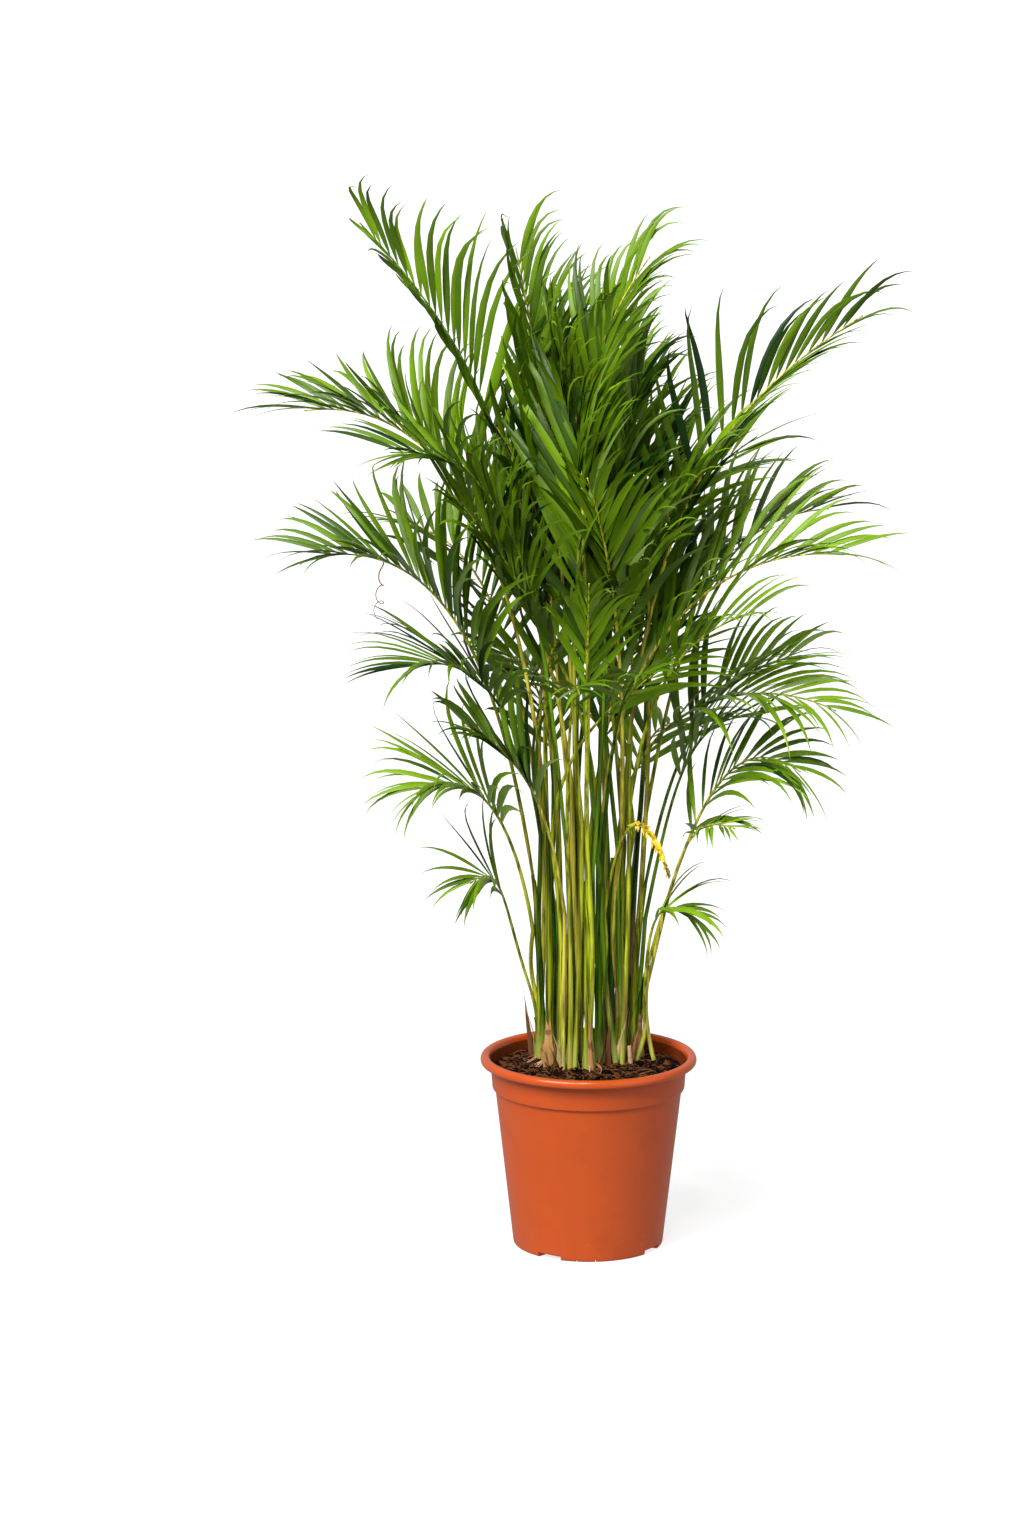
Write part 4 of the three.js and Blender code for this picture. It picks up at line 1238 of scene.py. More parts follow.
class PALM_OT_dead_parts(bpy.types.Operator):
    """Makes the dry things: split sheaths and husks, cut stubs, a curled leaflet and fine roots."""

    bl_idname = "object.palm_dead_parts"
    bl_label = "Dead parts"

    # How a husk is turned, in radians, bent, sunk and thick, in millimetres, and torn, as a share
    TURN = 0.9
    BEND = 6
    TORN = 0.5
    HUSK_SINK = 4
    HUSK_THICK = 0.5
    STUB_SINK = 5
    # Old husks round the clump: foot x and y, top x, y and z, radius at foot, middle and top, tone
    OLD_HUSKS = [
        ((-66, 36), (-75, 36, 322), (5.0, 4.4, 1.2), 1),
        ((-63, 30), (-68, 26, 276), (5.4, 4.8, 1.8), 3),
        ((-50, 2), (-55, -4, 262), (6.0, 5.4, 2.0), 0),
        ((-38, -10), (-44, -16, 246), (5.4, 4.6, 1.8), 1),
        ((3, -20), (-4, -26, 318), (5.4, 4.4, 1.2), 0),
        ((-12, -14), (-19, -20, 262), (5.2, 4.6, 1.6), 3),
        ((12, -4), (17, -10, 258), (5.4, 5.0, 2.0), 1),
        ((24, 2), (22, -4, 292), (4.8, 4.4, 1.4), 1),
        ((33, 6), (42, 0, 286), (7.0, 7.2, 2.2), 2),
        ((44, 14), (50, 8, 262), (6.0, 5.6, 2.0), 1),
        ((52, 24), (60, 22, 270), (5.4, 5.2, 1.8), 0),
        ((34, 52), (40, 58, 300), (5.4, 5.6, 1.8), 0),
        ((-26, 56), (-32, 66, 290), (5.4, 5.2, 1.8), 1),
        ((6, 80), (4, 92, 284), (5.4, 5.2, 1.8), 0),
        ((54, 72), (62, 84, 278), (5.4, 5.0, 1.6), 2),
    ]
    OLD_HUSK_SLIM = (0.8, 0.7, 0.4)
    # Curled leaflet: its rib, the share of the rib where it hangs, its drop, radius and half turns
    CURL_RIB = 6
    CURL_PLACE = 0.82
    CURL_DROP = 62
    CURL_RADIUS = 6
    CURL_TURNS = 5.5
    CURL_STEPS = 60
    ROOTS_EACH = 5

    def husk(self, foot, top, radii, ragged, open_turn, seed):
        """Curled dry blade: a split sleeve that closes to a torn point and bends out of the clump.

        The sleeve's half opening shrinks as 1 - 0.94 t^1.3, its edges end lower than its middle by
        the ragged share, and its line bends out by BEND t squared.
        """
        random = np.random.default_rng(seed)
        along = np.linspace(0, 1, 22)[:, None]
        across = np.linspace(-1, 1, 15)[None]
        edges = np.abs(across) ** 1.3 + 0.25 * np.sin(across * 7.3 + seed)
        torn = ragged * edges + 0.06 * random.random((1, 15))
        t = along * (1 - torn * along)
        bend = level_unit(foot[0], foot[1] - CLUMP_Y) * (self.BEND * t * t)[..., None]
        path = straight(foot, self.HUSK_SINK, top, t) + bend
        radius = np.interp(t, [0, 0.5, 1], radii) * (1 + 0.08 * np.sin(9 * across + 6 * t))
        opening = open_turn * math.pi * (1 - 0.94 * along**1.3)
        angle = across * opening - math.pi / 2 + self.TURN * math.sin(2.4 * seed) + 0.5 * t
        ring = circle(angle)
        return shell(path + ring * radius[..., None], path + ring * (radius - self.HUSK_THICK)[..., None])

    def stub(self, foot, top, radii):
        """Cut petiole: a ridged rod whose cut end is hollowed."""
        share = np.linspace(0, 1, 16)
        path = straight(foot, self.STUB_SINK, top, share)
        radius = np.interp(share, [0, 0.5, 1], radii) * (1 + 0.05 * np.sin(share * 24))
        path = np.concatenate([path, path[-1:] - (0, 0, 0.1), path[-1:] - (0, 0, 2.2)])
        radius = np.concatenate([radius, [radius[-1] * 0.72, radius[-1] * 0.6]])
        return tube(path, radius, (1, 0, 0), 14)

    def joined(self, name, finishes, nodes, shapes):
        """Makes one piece of shapes that each come with the number of their finish."""
        pieces = Surfaces()
        for shape, tone in shapes:
            pieces.add(*shape, tone)
        pieces.piece(name, finishes, "dry_sheath", nodes, 60)

    def execute(self, context):
        dry = tuple(context.scene.palm_colours.dry)
        tones = {
            "tan_husk": dry,
            "brown_husk": blended(dry, (0.11, 0.035, 0.013), 0.85),
            "pale_husk": blended(dry, (0.66, 0.5, 0.31), 0.6),
            "olive_husk": (0.4, 0.37, 0.07),
        }
        finishes = [dry_finish(name, tone) for name, tone in tones.items()]
        tan, brown, pale, _ = range(len(tones))
        sheaths = [
            (self.husk(*DEAD_PARTS["dead_sheath"], 0.4, 0.7, 1), tan),
            (self.husk((23, 31), (28, 28, 262), (4.6, 5.2, 2.2), 0.4, 0.6, 2), brown),
        ]
        self.joined("dry_sheath_husk", finishes, ["dead_sheath"], sheaths)
        stubs = [(self.stub(*DEAD_PARTS["cut_stub"]), pale)]
        self.joined("cut_petiole_stub", finishes, ["cut_stub"], stubs)
        foot, top, _ = DEAD_PARTS["tan_shoot"]
        shoots = [
            (self.husk(foot, top, (4.0, 3.4, 0.6), self.TORN, 0.5, 3), pale),
            (self.husk((-27, -14), (-38, -18, 250), (4.2, 3.4, 0.6), self.TORN, 0.45, 4), tan),
        ]
        self.joined("tan_shoot_husk", finishes, ["tan_shoot"], shoots)
        old = []
        for seed, (foot, top, radii, tone) in enumerate(self.OLD_HUSKS):
            slim = np.multiply(self.OLD_HUSK_SLIM, radii)
            opening = 0.38 + 0.2 * spin(seed, 0.4)
            old.append((self.husk(foot, top, slim, self.TORN, opening, seed + 5), tone))
        old.append((self.stub((50, 4), (48, 2, 238), (3.2, 2.8, 2.4)), pale))
        self.joined("old_husks", finishes, [], old)
        self.tendril()
        self.roots(finishes)
        return {"FINISHED"}

    def tendril(self):
        """Dried leaflet under the left frond: a thread that hangs from its rib and curls up.

        Its point is the rib's, lowered by CURL_DROP t, plus a circle whose radius grows as t^0.6
        and whose angle grows as t^1.3.
        """
        t = np.linspace(0, 1, self.CURL_STEPS)
        turns = self.CURL_TURNS * math.pi * t**1.3
        curl = self.CURL_RADIUS * t[:, None] ** 0.6
        drop = np.stack([0 * t, 0 * t, -self.CURL_DROP * t], axis=-1)
        wind = np.stack([np.cos(turns) - 1, 0.5 * np.sin(turns), np.sin(turns)], axis=-1)
        path = bezier(RIBS[self.CURL_RIB]["handles"], self.CURL_PLACE) + drop + curl * wind
        thread = tube(path, np.linspace(0.9, 0.4, self.CURL_STEPS), (0, 1, 0), 5)
        self.joined("dried_tendril", [dry_finish("tendril_brown", (0.5, 0.2, 0.12))], [], [(thread, 0)])

    def roots(self, finishes):
        """Short pale roots that leave the feet of the canes and dip into the mix."""
        random = np.random.default_rng(23)
        roots = []
        share = np.linspace(0, 1, 7)
        for cane in CANES:
            for _ in range(self.ROOTS_EACH):
                bearing = random.random() * 2 * math.pi
                reach = cane[5] * 0.7 + random.uniform(9, 21) * share
                turn = bearing + 0.6 * share * random.normal()
                x = cane[0] + reach * np.cos(turn)
                y = cane[1] + reach * np.sin(turn)
                z = SOIL_TOP + 6 - 9 * share**1.4
                root = tube(np.stack([x, y, z], axis=-1), np.linspace(1.1, 0.5, 7), (0, 0.2, 0.98), 6)
                roots.append((root, int(random.integers(0, 3))))
        self.joined("surface_roots", finishes, [], roots)


class PALM_OT_ribs(bpy.types.Operator):
    """Grows the petioles and ribs: flattened tubes that thin out along each frond's curve."""

    bl_idname = "object.palm_ribs"
    bl_label = "Petioles and ribs"

    # Millimetres, and factors on the radius: THIN_TIP is the last radius, TOP_JOIN the way in which
    # a rib takes on its cane's radius
    STEPS = 40
    SIDES = 8
    THIN_TIP = 0.9
    SLIM = 0.96
    LARGE_LEAF = 200
    TOP_JOIN = 26
    TOP_SINK = 3
    WIDER_FOOT = 1.12
    FLATTER = 0.86
    YELLOW_RIBS = (1, 2, 3, 4, 31, 33)
    OTHER_RIBS = (1, 4, 0, 2, 1, 3)
    DARK_STREAK = 0.35
    SPOTS = 0.15
    # Painted shade: how much darker the petioles are toned below the crown
    CROWN_SHADE = 0.72

    def radii(self, plan, share):
        """Petiole about 3 mm in radius that thins to a thread at the tip."""
        big = self.SLIM * (0.7 + 0.3 * plan["leaf"] / self.LARGE_LEAF)
        return mixed(RIB_FOOT_R * big, self.THIN_TIP, share**0.85)

    def execute(self, context):
        colours = context.scene.palm_colours
        green = tuple(colours.cane)
        yellow = tuple(colours.rib)
        cream = (0.4, 0.42, 0.1)
        dry = tuple(colours.dry)
        tones = {
            "rib_yellow": yellow,
            "rib_lime": (0.42, 0.47, 0.02),
            "rib_green": blended(green, (0.08, 0.22, 0.008), 0.6),
            "rib_deep": (0.05, 0.11, 0.003),
            "rib_olive": (0.36, 0.38, 0.025),
        }
        look = (cream, dry, self.DARK_STREAK, self.SPOTS, self.CROWN_SHADE)
        finishes = [cane_finish(name, tone, *look) for name, tone in tones.items()]
        surfaces = Surfaces()
        stems = stem_paths()
        share = np.linspace(0, 1, self.STEPS + 1)
        for number, rib in enumerate(RIBS):
            plan = rib["plan"]
            path = bezier(rib["handles"], share)
            radii = self.radii(plan, share)
            if stems[number] is None:
                cane = CANES[plan["cane"] - 1]
                top = float(cane_radius(cane, 1.0)) * PALM_OT_canes.SLIM * PALM_OT_canes.TAPER
                radii = radii + (top - radii[0]) * np.exp(-share * rib["length"] / self.TOP_JOIN)
                path[0] = path[0] - self.TOP_SINK * unit(path[1] - path[0])
            else:
                stem = stems[number][:-1]
                path = np.concatenate([stem, path])
                radii = np.concatenate([np.linspace(self.WIDER_FOOT, 1, len(stem)) * radii[0], radii])
            tone = 0 if number in self.YELLOW_RIBS else self.OTHER_RIBS[int(6 * spin(number, 0.55))]
            surfaces.add(*tube(path, radii, rib["across"], self.SIDES, self.FLATTER), tone)
        surfaces.piece("petioles_and_ribs", finishes, "green_frond", [*FROND_NODES, "wilted_frond"], 60)
        return {"FINISHED"}


# Shares of a leaflet's length where its blade has a section, and how wide it is there
BLADE_SHARES = np.array([0, 0.04, 0.11, 0.22, 0.36, 0.51, 0.66, 0.79, 0.9])
BLADE_WIDTHS = np.array([0.2, 0.34, 0.62, 0.88, 1.0, 0.9, 0.67, 0.4, 0.19])
# Steps in which a midrib is summed up, and how much tighter a blade is folded at its root
MIDRIB_STEPS = 45
ROOT_FOLD = 1.9
# Angles of the leaflets to the rib at its foot and tip on a level and on an upright frond, and
# rolls of their fan with its play, all in degrees
ANGLE_FOOT = 50
FAN_TIP = 29
UPRIGHT_FOOT = 33
ANGLE_TIP = 14
ANGLE_EASE = 0.8
ANGLE_PLAY = 3.6
LIFT_PLAY = 7
FLAT_ROLL = 18
UPRIGHT_ROLL = 50
ROLL_PLAY = 22
# Slope in degrees from which a frond counts as upright, and over how many more it comes to do
# so in full
UPRIGHT_FROM = 5
UPRIGHT_OVER = 50
# Gaps: factors for small fronds and the crown's inside, and how far the two of a pair are apart
SMALL_FROND_GAPS = 0.66
LARGE_LEAF = 170
INNER_GAPS = 1.6
PAIR_STEP = 0.16
PAIR_PLAY = 0.12
# Lengths along a frond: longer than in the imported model, short at the foot and shorter at the
# tip; and widths: wider inside the crown, and never more than a share of the frond's length
LEAFLET_REACH = 1.16
SHORT_SHARE = 0.72
SWELL_START = 0.2
SWELL_RATE = 1.1
END_SHORTER = 0.27
INNER_WIDTH = 1.15
WIDEST_SHARE = 0.09
# Sideways bend and twist in degrees, and the share of leaflets that have gone
SWAY_PLAY = 8
TWIST_PLAY = 18
GONE_SHARE = 0.03
# Tones of single fronds, from 0 for the lightest green to 5 for the deepest, partly their own green and
# partly painted light and shade
FROND_TONES = {
    0: 1.8, 1: 1.6, 2: 2.4, 3: 3.1, 4: 2.1, 5: 2.4, 6: 2.7, 7: 3.2, 8: 2.6, 18: 0.8, 19: 1.9, 20: 2.1,
    31: 0.6, 32: 1.5, 33: 0.9, 34: 1.8, 35: 1.1,
}
# Rolls of single fronds in degrees, how far their steep leaflets turn to the right, and factors
# on their leaflets' gaps, lengths and angles, and on those of the side nearer to the viewer
FROND_ROLLS = {0: 64, 1: 50, 2: -52, 3: -52}
FROND_TURNS = {0: 1.05, 1: 0.8}
USUAL_TURN = 0.6
FROND_GAPS = {
    0: 1.25, 1: 1.1, 2: 1.1, 3: 1.4, 4: 0.8, 5: 0.85, 6: 0.88, 7: 0.7, 8: 0.8, 9: 0.82, 10: 0.85,
    11: 1.35, 12: 1.5, 13: 1.25, 14: 1.3, 15: 1.2, 18: 1.35, 19: 1.5, 20: 1.5, 21: 1.5, 22: 1.6,
    31: 1.35, 32: 1.35, 33: 1.35, 34: 1.35, 35: 1.35,
}
FROND_REACH = {0: 0.95, 1: 0.88, 7: 1.15, 8: 1.1, 9: 1.12, 10: 1.1, 18: 0.8, 19: 0.9, 20: 0.9}
FROND_FANS = {0: 1.2, 3: 1.1}
NEAR_SHARE = {0: 0.3, 3: 0.6}


def blade_faces(count):
    """Faces of many blades: four-cornered rings, a tip and a closed root for each."""
    rings = len(BLADE_SHARES)
    quads, low, _ = tube_faces(rings, 4)
    last = (rings - 1) * 4
    k = np.arange(4)
    tip = np.stack([last + k, last + (k + 1) % 4, np.full(4, rings * 4)], axis=-1)
    size = rings * 4 + 1
    shift = size * np.arange(count)[:, None, None]
    return [(faces[None] + shift).reshape(-1, faces.shape[1]) for faces in (quads, low, tip)]


def blades(root, direction, across, top, length, width, bend, sway, twist, fold):
    """Many leaflets at once, as folded blades along arching midribs.

    The midrib's elevation falls by sag u cos e + hook u^3 from its start e, and its heading turns
    by sway u squared, so the point at share u is the sum of length du in those directions. The
    blade is square to it, turned by twist u, as wide as width times the profile, with each half
    falling from the midrib by the fold, which is tighter at the root.
    """
    count = len(root)
    fine = np.linspace(0, 1, MIDRIB_STEPS + 1)
    heading = np.arctan2(direction[:, 1], direction[:, 0])[:, None]
    rise = np.arcsin(np.clip(direction[:, 2], -1, 1))[:, None]

    def course(u):
        fall = bend[0][:, None] * u * np.cos(rise) + bend[1][:, None] * u**3
        up = rise - fall
        turn = heading + sway[:, None] * u * u
        return np.stack([np.cos(up) * np.cos(turn), np.cos(up) * np.sin(turn), np.sin(up)], axis=-1)

    middle = (fine[1:] + fine[:-1]) / 2
    steps = course(middle[None]) * (np.diff(fine)[None, :, None] * length[:, None, None])
    line = np.concatenate([np.zeros((count, 1, 3)), np.cumsum(steps, axis=1)], axis=1) + root[:, None]
    stations = np.append(BLADE_SHARES, 1.0)
    index = stations * MIDRIB_STEPS
    low = np.minimum(index.astype(int), MIDRIB_STEPS - 1)
    part = (index - low)[None, :, None]
    spots = line[:, low] * (1 - part) + line[:, low + 1] * part
    tangent = course(stations[None])
    side = square_to(np.broadcast_to(across[:, None], tangent.shape), tangent)
    face = np.cross(tangent, side)
    flip = np.sign(np.sum(face * top[:, None], axis=-1, keepdims=True))
    side = side * np.where(flip == 0, 1, flip)
    face = np.cross(tangent, side)
    side, face = turned(side, face, (twist[:, None] * stations[None])[..., None])
    half = 0.5 * width[:, None] * BLADE_WIDTHS[None]
    lean = (fold * (1 + ROOT_FOLD * np.exp(-BLADE_SHARES / 0.07)))[None]
    out = (half * np.cos(lean))[..., None] * side[:, :-1]
    fall = (half * np.sin(lean))[..., None] * face[:, :-1]
    thick = (0.3 + 0.016 * width[:, None] + 0.5 * np.exp(-BLADE_SHARES / 0.06)[None])[..., None]
    centre = spots[:, :-1]
    under = centre - thick * face[:, :-1]
    ring = np.stack([centre + out - fall, centre, centre - out - fall, under], axis=2)
    return np.concatenate([ring.reshape(count, -1, 3), spots[:, -1:]], axis=1)


def frond_roll(number, rib, upright):
    """Roll of a frond's fan about its rib: with its bearing, so that the far side stands up and
    the near side comes down to the viewer, more on an upright frond, and with some play."""
    if number in FROND_ROLLS:
        return math.radians(FROND_ROLLS[number])
    bearing = rib["across"][1] * mixed(FLAT_ROLL, UPRIGHT_ROLL, upright)
    return math.radians(bearing + ROLL_PLAY * (spin(number, 0.77) - 0.5))


def rib_axes(rib, t):
    """Points of a rib, and at each the rib's direction, the side square to it, and the upside."""
    along = slope_of(rib["handles"], t)
    side = square_to(np.broadcast_to(rib["across"], along.shape), along)
    return bezier(rib["handles"], t), along, side, np.cross(side, along)


def leaflet_places(rib, gaps, sizes, random):
    """Shares of the leafy length where leaflets sit, in pairs whose two stand a little apart, and
    the side of each as 1 or -1."""
    plan = rib["plan"]
    small = mixed(SMALL_FROND_GAPS, 1.0, min(1, plan["leaf"] / LARGE_LEAF))
    spacing = gaps * sizes.spacing / MM * small
    pairs = round(rib["length"] * (LAST_PAIR - plan["bare"]) / spacing)
    share = np.repeat((np.arange(pairs) + 0.5) / pairs, 2)
    sign = np.tile([1.0, -1.0], pairs)
    share = share + sign * PAIR_STEP / pairs + random.normal(0, PAIR_PLAY / pairs, len(share))
    return np.clip(share, 0.002, 0.998), sign


def frond_blades(rib, number, sizes, random, scale=LEAFLET_REACH):
    """Leaflets of one frond: slender blades in close pairs, at acute angles to the rib.

    With a its angle to the rib and l its lift, a leaflet's direction is cos a along the rib, plus
    sin a cos l to its side, plus sin a sin l to the upside.
    """
    plan = rib["plan"]
    inner = number >= len(OUTER_FRONDS)
    gaps = FROND_GAPS.get(number, INNER_GAPS if inner else 1.0)
    share, sign = leaflet_places(rib, gaps, sizes, random)
    count = len(share)
    root, along, side, up = rib_axes(rib, pair_share(plan, share))
    upright = float(np.clip((plan["slope"] - UPRIGHT_FROM) / UPRIGHT_OVER, 0, 1))
    side, up = turned(side, up, frond_roll(number, rib, upright))
    foot = mixed(ANGLE_FOOT, UPRIGHT_FOOT, upright)
    tip = mixed(FAN_TIP, ANGLE_TIP, upright)
    near = np.where(sign * rib["across"][1] < 0, NEAR_SHARE.get(number, 1.0), 1.0)
    fan = FROND_FANS.get(number, 1.0) * near
    angle = np.radians(fan * mixed(foot, tip, share**ANGLE_EASE) + random.normal(0, ANGLE_PLAY, count))
    lift = np.radians(plan["lift"] + random.normal(0, LIFT_PLAY, count))
    direction = (
        along * np.cos(angle)[:, None]
        + side * (sign * np.sin(angle) * np.cos(lift))[:, None]
        + up * (np.sin(angle) * np.sin(lift))[:, None]
    )
    swell = mixed(SHORT_SHARE, 1, np.sin(math.pi * np.minimum(1, SWELL_START + share * SWELL_RATE)))
    length = plan["leaf"] * swell * (1 - END_SHORTER * share * share)
    length = length * random.uniform(0.9, 1.03, count)
    length = length * (scale * FROND_REACH.get(number, 1.0)) * np.sqrt(near)
    widest = min(sizes.leaflet_width / MM, WIDEST_SHARE * plan["leaf"]) * (INNER_WIDTH if inner else 1.0)
    width = widest * mixed(1.0, 0.66, share**2) * random.uniform(0.82, 1.1, count)
    across = square_to(along, direction)
    top = np.cross(across, direction) * -sign[:, None]
    droop = float(np.clip(-plan["slope"] / 25, 0, 1))
    slack = 1.2 - 0.012 * plan["lift"] + 1.1 * droop
    sag = sizes.sag * slack * random.uniform(0.6, 1.3, count)
    steep = np.clip(direction[:, 2], 0, 1) ** 2
    hook = sizes.hook * random.uniform(0.2, 1.4, count) * (1 + 2.2 * steep * share**1.5)
    heading = np.arctan2(direction[:, 1], direction[:, 0])
    sway = np.radians(random.normal(0, SWAY_PLAY, count))
    sway = sway - FROND_TURNS.get(number, USUAL_TURN) * steep * heading
    twist = np.radians(random.normal(0, TWIST_PLAY, count))
    shape = blades(root, direction, across, top, length, width, (sag, hook), sway, twist, sizes.fold)
    return shape[random.random(count) > GONE_SHARE]


class PALM_OT_leaflets(bpy.types.Operator):
    """Grows the green leaflets, dealt by frond over several greens, in three joined tiers."""

    bl_idname = "object.palm_leaflets"
    bl_label = "Leaflets"

    TIERS = (("lower_leaflets", 0), ("middle_leaflets", 700), ("upper_leaflets", 1000))
    GREENS = {"lime": 0, "bright": 0.22, "fresh": 0.42, "mid": 0.62, "dark": 0.82, "deep": 1.0}
    # Numbers of the deepest and the pale finish, the play of tones, and how a frond's tone goes by its
    # reach and its place: painted shade inside and behind the crown
    DEEPEST = 5
    PALE = 6
    PALE_SHARE = 0.05
    TONE_PLAY = 1.2
    TONE_DEAL = 2.4
    MIDDLE_TONE = 2.3
    REACH_A_TONE = 190
    BEHIND = 120
    BEHIND_SHADE = 0.9
    INSIDE_SHADE = 1.3

    def greens(self, colours):
        """Six plain greens from light to deep, and a pale one."""
        light = tuple(colours.leaf_light)
        deep = tuple(colours.leaf_deep)
        tones = {f"leaf_{name}": blended(light, deep, share) for name, share in self.GREENS.items()}
        tones["leaf_pale"] = (0.19, 0.3, 0.06)
        return [leaf_finish(name, tone) for name, tone in tones.items()]

    def tone(self, number, plan):
        """Tone of a frond: light near the crown's outside and front, deep inside and behind, as painted
        light and shade.
        """
        if number in FROND_TONES:
            return FROND_TONES[number]
        x, y, _ = plan["tip"]
        depth = self.MIDDLE_TONE - np.hypot(x, y - CROWN_Y) / self.REACH_A_TONE
        # Painted shade: fronds behind the crown and those inside it are toned deeper
        depth = depth + self.BEHIND_SHADE * (y > self.BEHIND) + self.TONE_DEAL * (spin(number, 0.62) - 0.5)
        return float(np.clip(depth + self.INSIDE_SHADE * (number > WILTED_PLACE), 0, self.DEEPEST))

    def execute(self, context):
        sizes = context.scene.palm_foliage
        finishes = self.greens(context.scene.palm_colours)
        random = np.random.default_rng(31)
        tiers = {name: Surfaces() for name, _ in self.TIERS}
        nodes = {name: [] for name, _ in self.TIERS}
        for number, rib in enumerate(RIBS):
            plan = rib["plan"]
            if number == WILTED_PLACE:
                continue
            name = [name for name, low in self.TIERS if plan["tip"][2] >= low][-1]
            shape = frond_blades(rib, number, sizes, random)
            tones = np.round(self.tone(number, plan) + random.normal(0, self.TONE_PLAY, len(shape)))
            pale = random.random(len(shape)) < self.PALE_SHARE
            tones = np.where(pale, self.PALE, np.clip(tones, 0, self.DEEPEST))
            for tone in range(len(finishes)):
                chosen = shape[tones == tone]
                if len(chosen):
                    tiers[name].add(chosen, blade_faces(len(chosen)), tone)
            if number < WILTED_PLACE:
                nodes[name].append(FROND_NODES[number])
        for name, _ in self.TIERS:
            tiers[name].piece(name, finishes, "green_frond", nodes[name], 42)
        return {"FINISHED"}


class PALM_OT_wilted(bpy.types.Operator):
    """Hangs the yellow wilted frond: crumpled ribbons and curled leaflets along its drooping rib."""

    bl_idname = "object.palm_wilted"
    bl_label = "Wilted frond"

    # Ribbons: from and to which share of the rib, width, seed and finish
    RIBBONS = ((0.34, 0.9, 6.5, 1, 0), (0.4, 0.8, 5, 2, 0), (0.86, 0.995, 3, 3, 1))
    RIBBON_LIFT = 2.2
    RIBBON_THICK = 0.5
    WAVE = 1.6
    LEAFLET_SCALE = 0.3

    def ribbon(self, rib, low, high, width, seed):
        """Shrivelled blade: a ribbon along the rib whose edges wave and curl under.

        With u from -1 to 1 across it, it waves by sin(47 w) u squared + 0.6 sin(83 w) u, where w is
        the way along it, and it rolls by 0.9 sin(9 w) about the rib.
        """
        share = np.linspace(low, high, 46)
        path, _, side, up = rib_axes(rib, share)
        place = (share - low) / (high - low)
        half = width / 2 * np.sin(math.pi * place) ** 0.6 + 0.4
        u = np.linspace(-1, 1, 9)[None]
        wave = np.sin(place * 47 + seed)[:, None] * u**2
        wave = wave + 0.6 * np.sin(place * 83 + 2 * seed)[:, None] * u
        roll = (0.9 * np.sin(place * 9 + seed))[:, None]
        level, high_side = turned(half[:, None] * u, wave * self.WAVE, -roll)
        rise = high_side + self.RIBBON_LIFT
        outer = path[:, None] - side[:, None] * level[..., None] + up[:, None] * rise[..., None]
        return shell(outer, outer - up[:, None] * self.RIBBON_THICK)

    def execute(self, context):
        yellow = Finish("wilted_yellow", (0.8, 0.52, 0.012), 0.55, 0.3)
        base = yellow.ramp(
            yellow.noise(150, 4),
            (0.34, (0.56, 0.32, 0.012)),
            (0.5, (0.82, 0.56, 0.012)),
            (0.68, (0.92, 0.74, 0.1)),
        )
        yellow.set("Base Color", base)
        yellow.set("Normal", yellow.relief(yellow.noise(500, 3), 0.0009, 0.8))
        brown = dry_finish("wilted_brown", (0.3, 0.2, 0.05))
        rib = RIBS[WILTED_PLACE]
        surfaces = Surfaces()
        for low, high, width, seed, finish in self.RIBBONS:
            surfaces.add(*self.ribbon(rib, low, high, width, seed), finish)
        random = np.random.default_rng(41)
        sizes = context.scene.palm_foliage
        shape = frond_blades(rib, WILTED_PLACE, sizes, random, self.LEAFLET_SCALE)
        surfaces.add(shape, blade_faces(len(shape)))
        surfaces.piece("wilted_blades", [yellow.material, brown], "yellow_frond", ["wilted_frond"], 42)
        return {"FINISHED"}


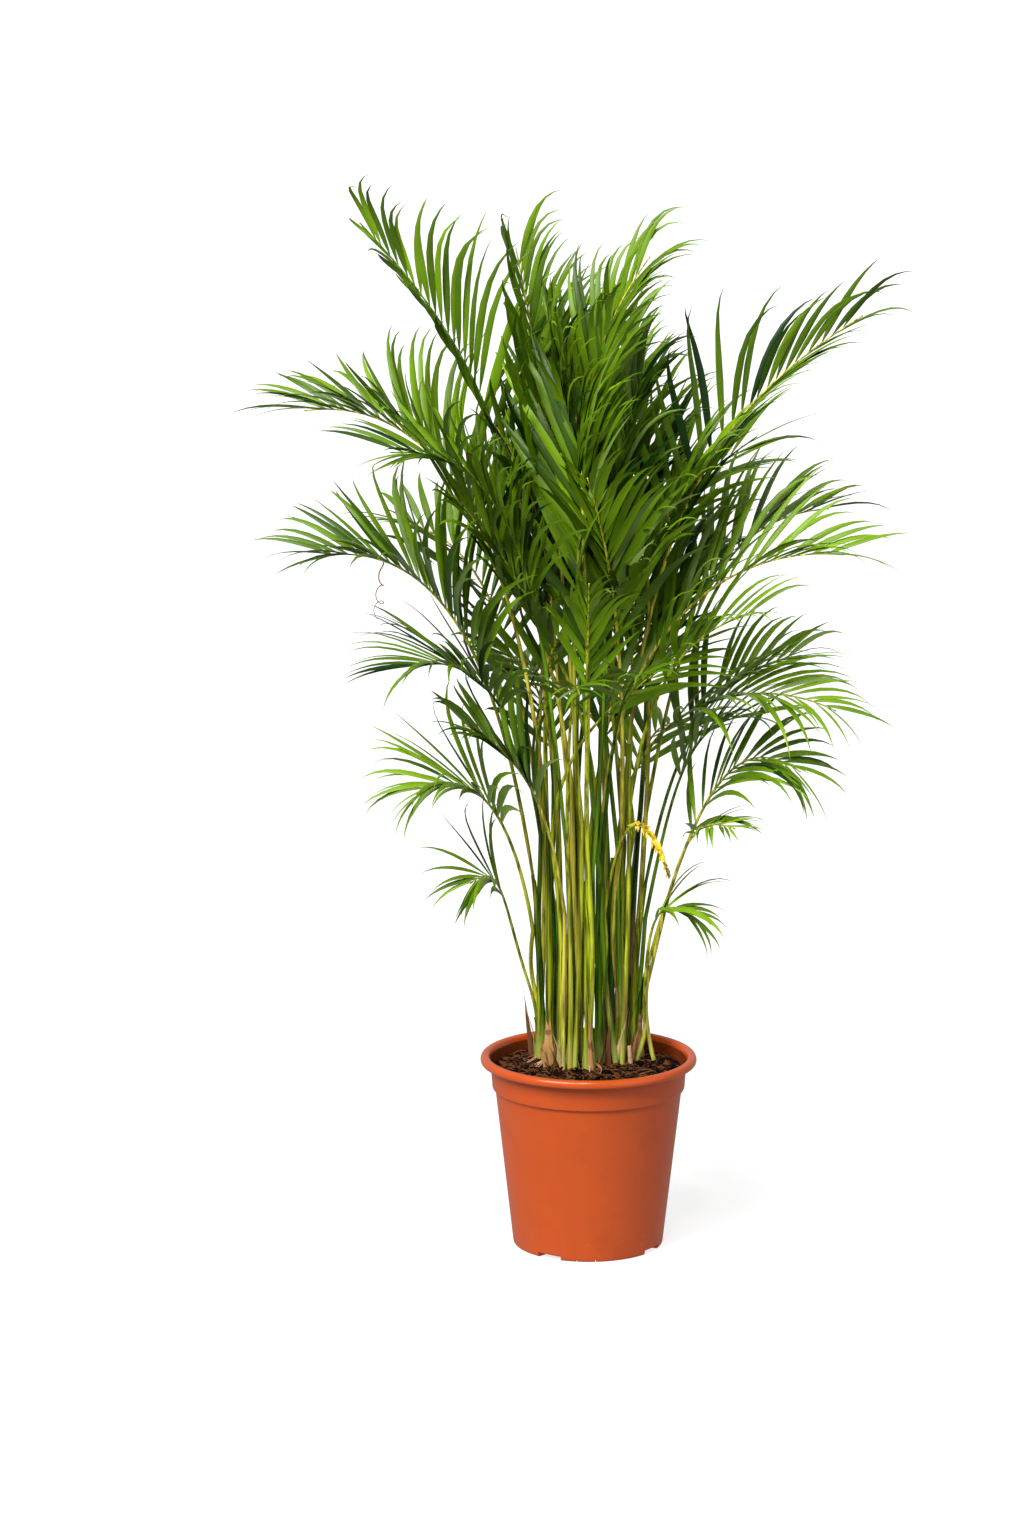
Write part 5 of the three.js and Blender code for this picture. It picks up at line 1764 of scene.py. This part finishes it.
class PALM_OT_stage(bpy.types.Operator):
    """Sets the pale floor, the white surroundings, the soft lights and the camera."""

    bl_idname = "scene.palm_stage"
    bl_label = "Stage"

    # Directions of the lights and their spreads in degrees; metres for the floor and the shade
    KEY_FROM = (-0.62, -0.72, 0.86)
    KEY_SPREAD = 34
    GLINT_FROM = (-0.08, -0.7, 0.9)
    GLINT_SPREAD = 6
    FILL_FROM = (0.85, -0.6, 0.25)
    FILL_SPREAD = 60
    FLOOR_RINGS = (0.6, 4, 40, 400)
    FLOOR_SIDES = 96
    SHADE_RADIUS = 0.075
    SHADE_HEIGHT = 0.0003

    def disc(self, name, radii, height, material):
        """Flat disc of rings round a middle point, in metres, from the innermost ring outwards."""
        sides = self.FLOOR_SIDES
        ring = circle(np.linspace(0, 2 * math.pi, sides + 1)[:-1])
        points = np.concatenate([*[radius * ring for radius in radii], [[0, 0, 0]]]) + (0, 0, height)
        k = np.arange(sides)
        n = (k + 1) % sides
        faces = []
        for low in sides * np.arange(len(radii) - 1):
            faces += np.stack([low + k, low + sides + k, low + sides + n, low + n], -1).tolist()
        faces += np.stack([np.full(sides, sides * len(radii)), k, n], -1).tolist()
        mesh = bpy.data.meshes.new(name)
        mesh.from_pydata(points.tolist(), [], faces)
        mesh.materials.append(material)
        made = bpy.data.objects.new(name, mesh)
        bpy.context.scene.collection.objects.link(made)
        return made

    def floor(self, glow):
        """Pale floor under everything, and a small dark disc under the pot that paints the shade beneath
        it.
        """
        finish = Finish("studio_white", (0.3, 0.3, 0.3), 0.8, 0.1)
        finish.set("Roughness", 0.74 + 0.1 * finish.noise(3))
        finish.set("Emission Color", (1, 1, 1, 1))
        finish.set("Emission Strength", glow)
        made = self.disc("studio_floor", self.FLOOR_RINGS, 0, finish.material)
        made.visible_diffuse = False
        made.visible_glossy = False
        # Painted shade: a dark sheet that does not glow, under the pot, where the glowing floor would show
        # through the notches
        grey = Finish("shade_grey", (0.05, 0.035, 0.028), 0.9, 0.1)
        made = self.disc("pot_shade", (self.SHADE_RADIUS,), self.SHADE_HEIGHT, grey.material)

    def light(self, name, strength, start, spread):
        """Far light of a given spread in degrees that comes from the direction of start."""
        data = bpy.data.lights.new(name, "SUN")
        data.energy = strength
        data.angle = math.radians(spread)
        made = bpy.data.objects.new(name, data)
        x, y, z = start
        made.location = start
        made.rotation_euler = (math.atan2(math.hypot(x, y), z), 0, math.atan2(x, -y))
        bpy.context.scene.collection.objects.link(made)

    def execute(self, context):
        stage = context.scene.palm_stage
        self.floor(stage.floor_glow)
        world = bpy.data.worlds.new("white_surroundings")
        world.use_nodes = True
        sky = world.node_tree.nodes["Background"]
        sky.inputs["Color"].default_value = (1, 1, 1, 1)
        sky.inputs["Strength"].default_value = stage.world_light
        context.scene.world = world
        self.light("key", stage.key_strength, self.KEY_FROM, self.KEY_SPREAD)
        self.light("glint", stage.glint_strength, self.GLINT_FROM, self.GLINT_SPREAD)
        self.light("fill", stage.fill_strength, self.FILL_FROM, self.FILL_SPREAD)
        data = bpy.data.cameras.new("camera")
        data.lens = stage.lens
        data.sensor_width = 36
        data.clip_end = 1000
        camera = bpy.data.objects.new("camera", data)
        camera.location = stage.camera_place
        camera.rotation_euler = (math.pi / 2 - stage.pitch, 0, 0)
        context.scene.collection.objects.link(camera)
        context.scene.camera = camera
        context.scene.view_settings.view_transform = "Standard"
        return {"FINISHED"}


OPERATORS = (
    PALM_OT_pot,
    PALM_OT_soil,
    PALM_OT_canes,
    PALM_OT_dead_parts,
    PALM_OT_ribs,
    PALM_OT_leaflets,
    PALM_OT_wilted,
    PALM_OT_stage,
)


GROUPS = {
    "palm_pot": PalmPotSizes,
    "palm_soil": PalmSoilSizes,
    "palm_foliage": PalmFoliageSizes,
    "palm_colours": PalmColours,
    "palm_stage": PalmStage,
}


class PALM_PT_panel(bpy.types.Panel):
    """Lists the palm's operators and settings in the sidebar."""

    bl_idname = "PALM_PT_panel"
    bl_label = "Potted palm"
    bl_space_type = "VIEW_3D"
    bl_region_type = "UI"
    bl_category = "Palm"

    def draw(self, context):
        for operator in OPERATORS:
            self.layout.operator(operator.bl_idname)
        for group in GROUPS:
            values = getattr(context.scene, group)
            for name in values.bl_rna.properties.keys():
                if name not in ("rna_type", "name"):
                    self.layout.prop(values, name)


def register():
    for name, group in GROUPS.items():
        bpy.utils.register_class(group)
        setattr(bpy.types.Scene, name, bpy.props.PointerProperty(type=group))
    for operator in OPERATORS:
        bpy.utils.register_class(operator)
    bpy.utils.register_class(PALM_PT_panel)


def unregister():
    bpy.utils.unregister_class(PALM_PT_panel)
    for operator in reversed(OPERATORS):
        bpy.utils.unregister_class(operator)
    for name, group in GROUPS.items():
        delattr(bpy.types.Scene, name)
        bpy.utils.unregister_class(group)


def main():
    register()
    bpy.ops.object.palm_pot()
    bpy.ops.object.palm_soil()
    bpy.ops.object.palm_canes()
    bpy.ops.object.palm_dead_parts()
    bpy.ops.object.palm_ribs()
    bpy.ops.object.palm_leaflets()
    bpy.ops.object.palm_wilted()
    bpy.ops.scene.palm_stage()


if __name__ == "__main__":
    main()
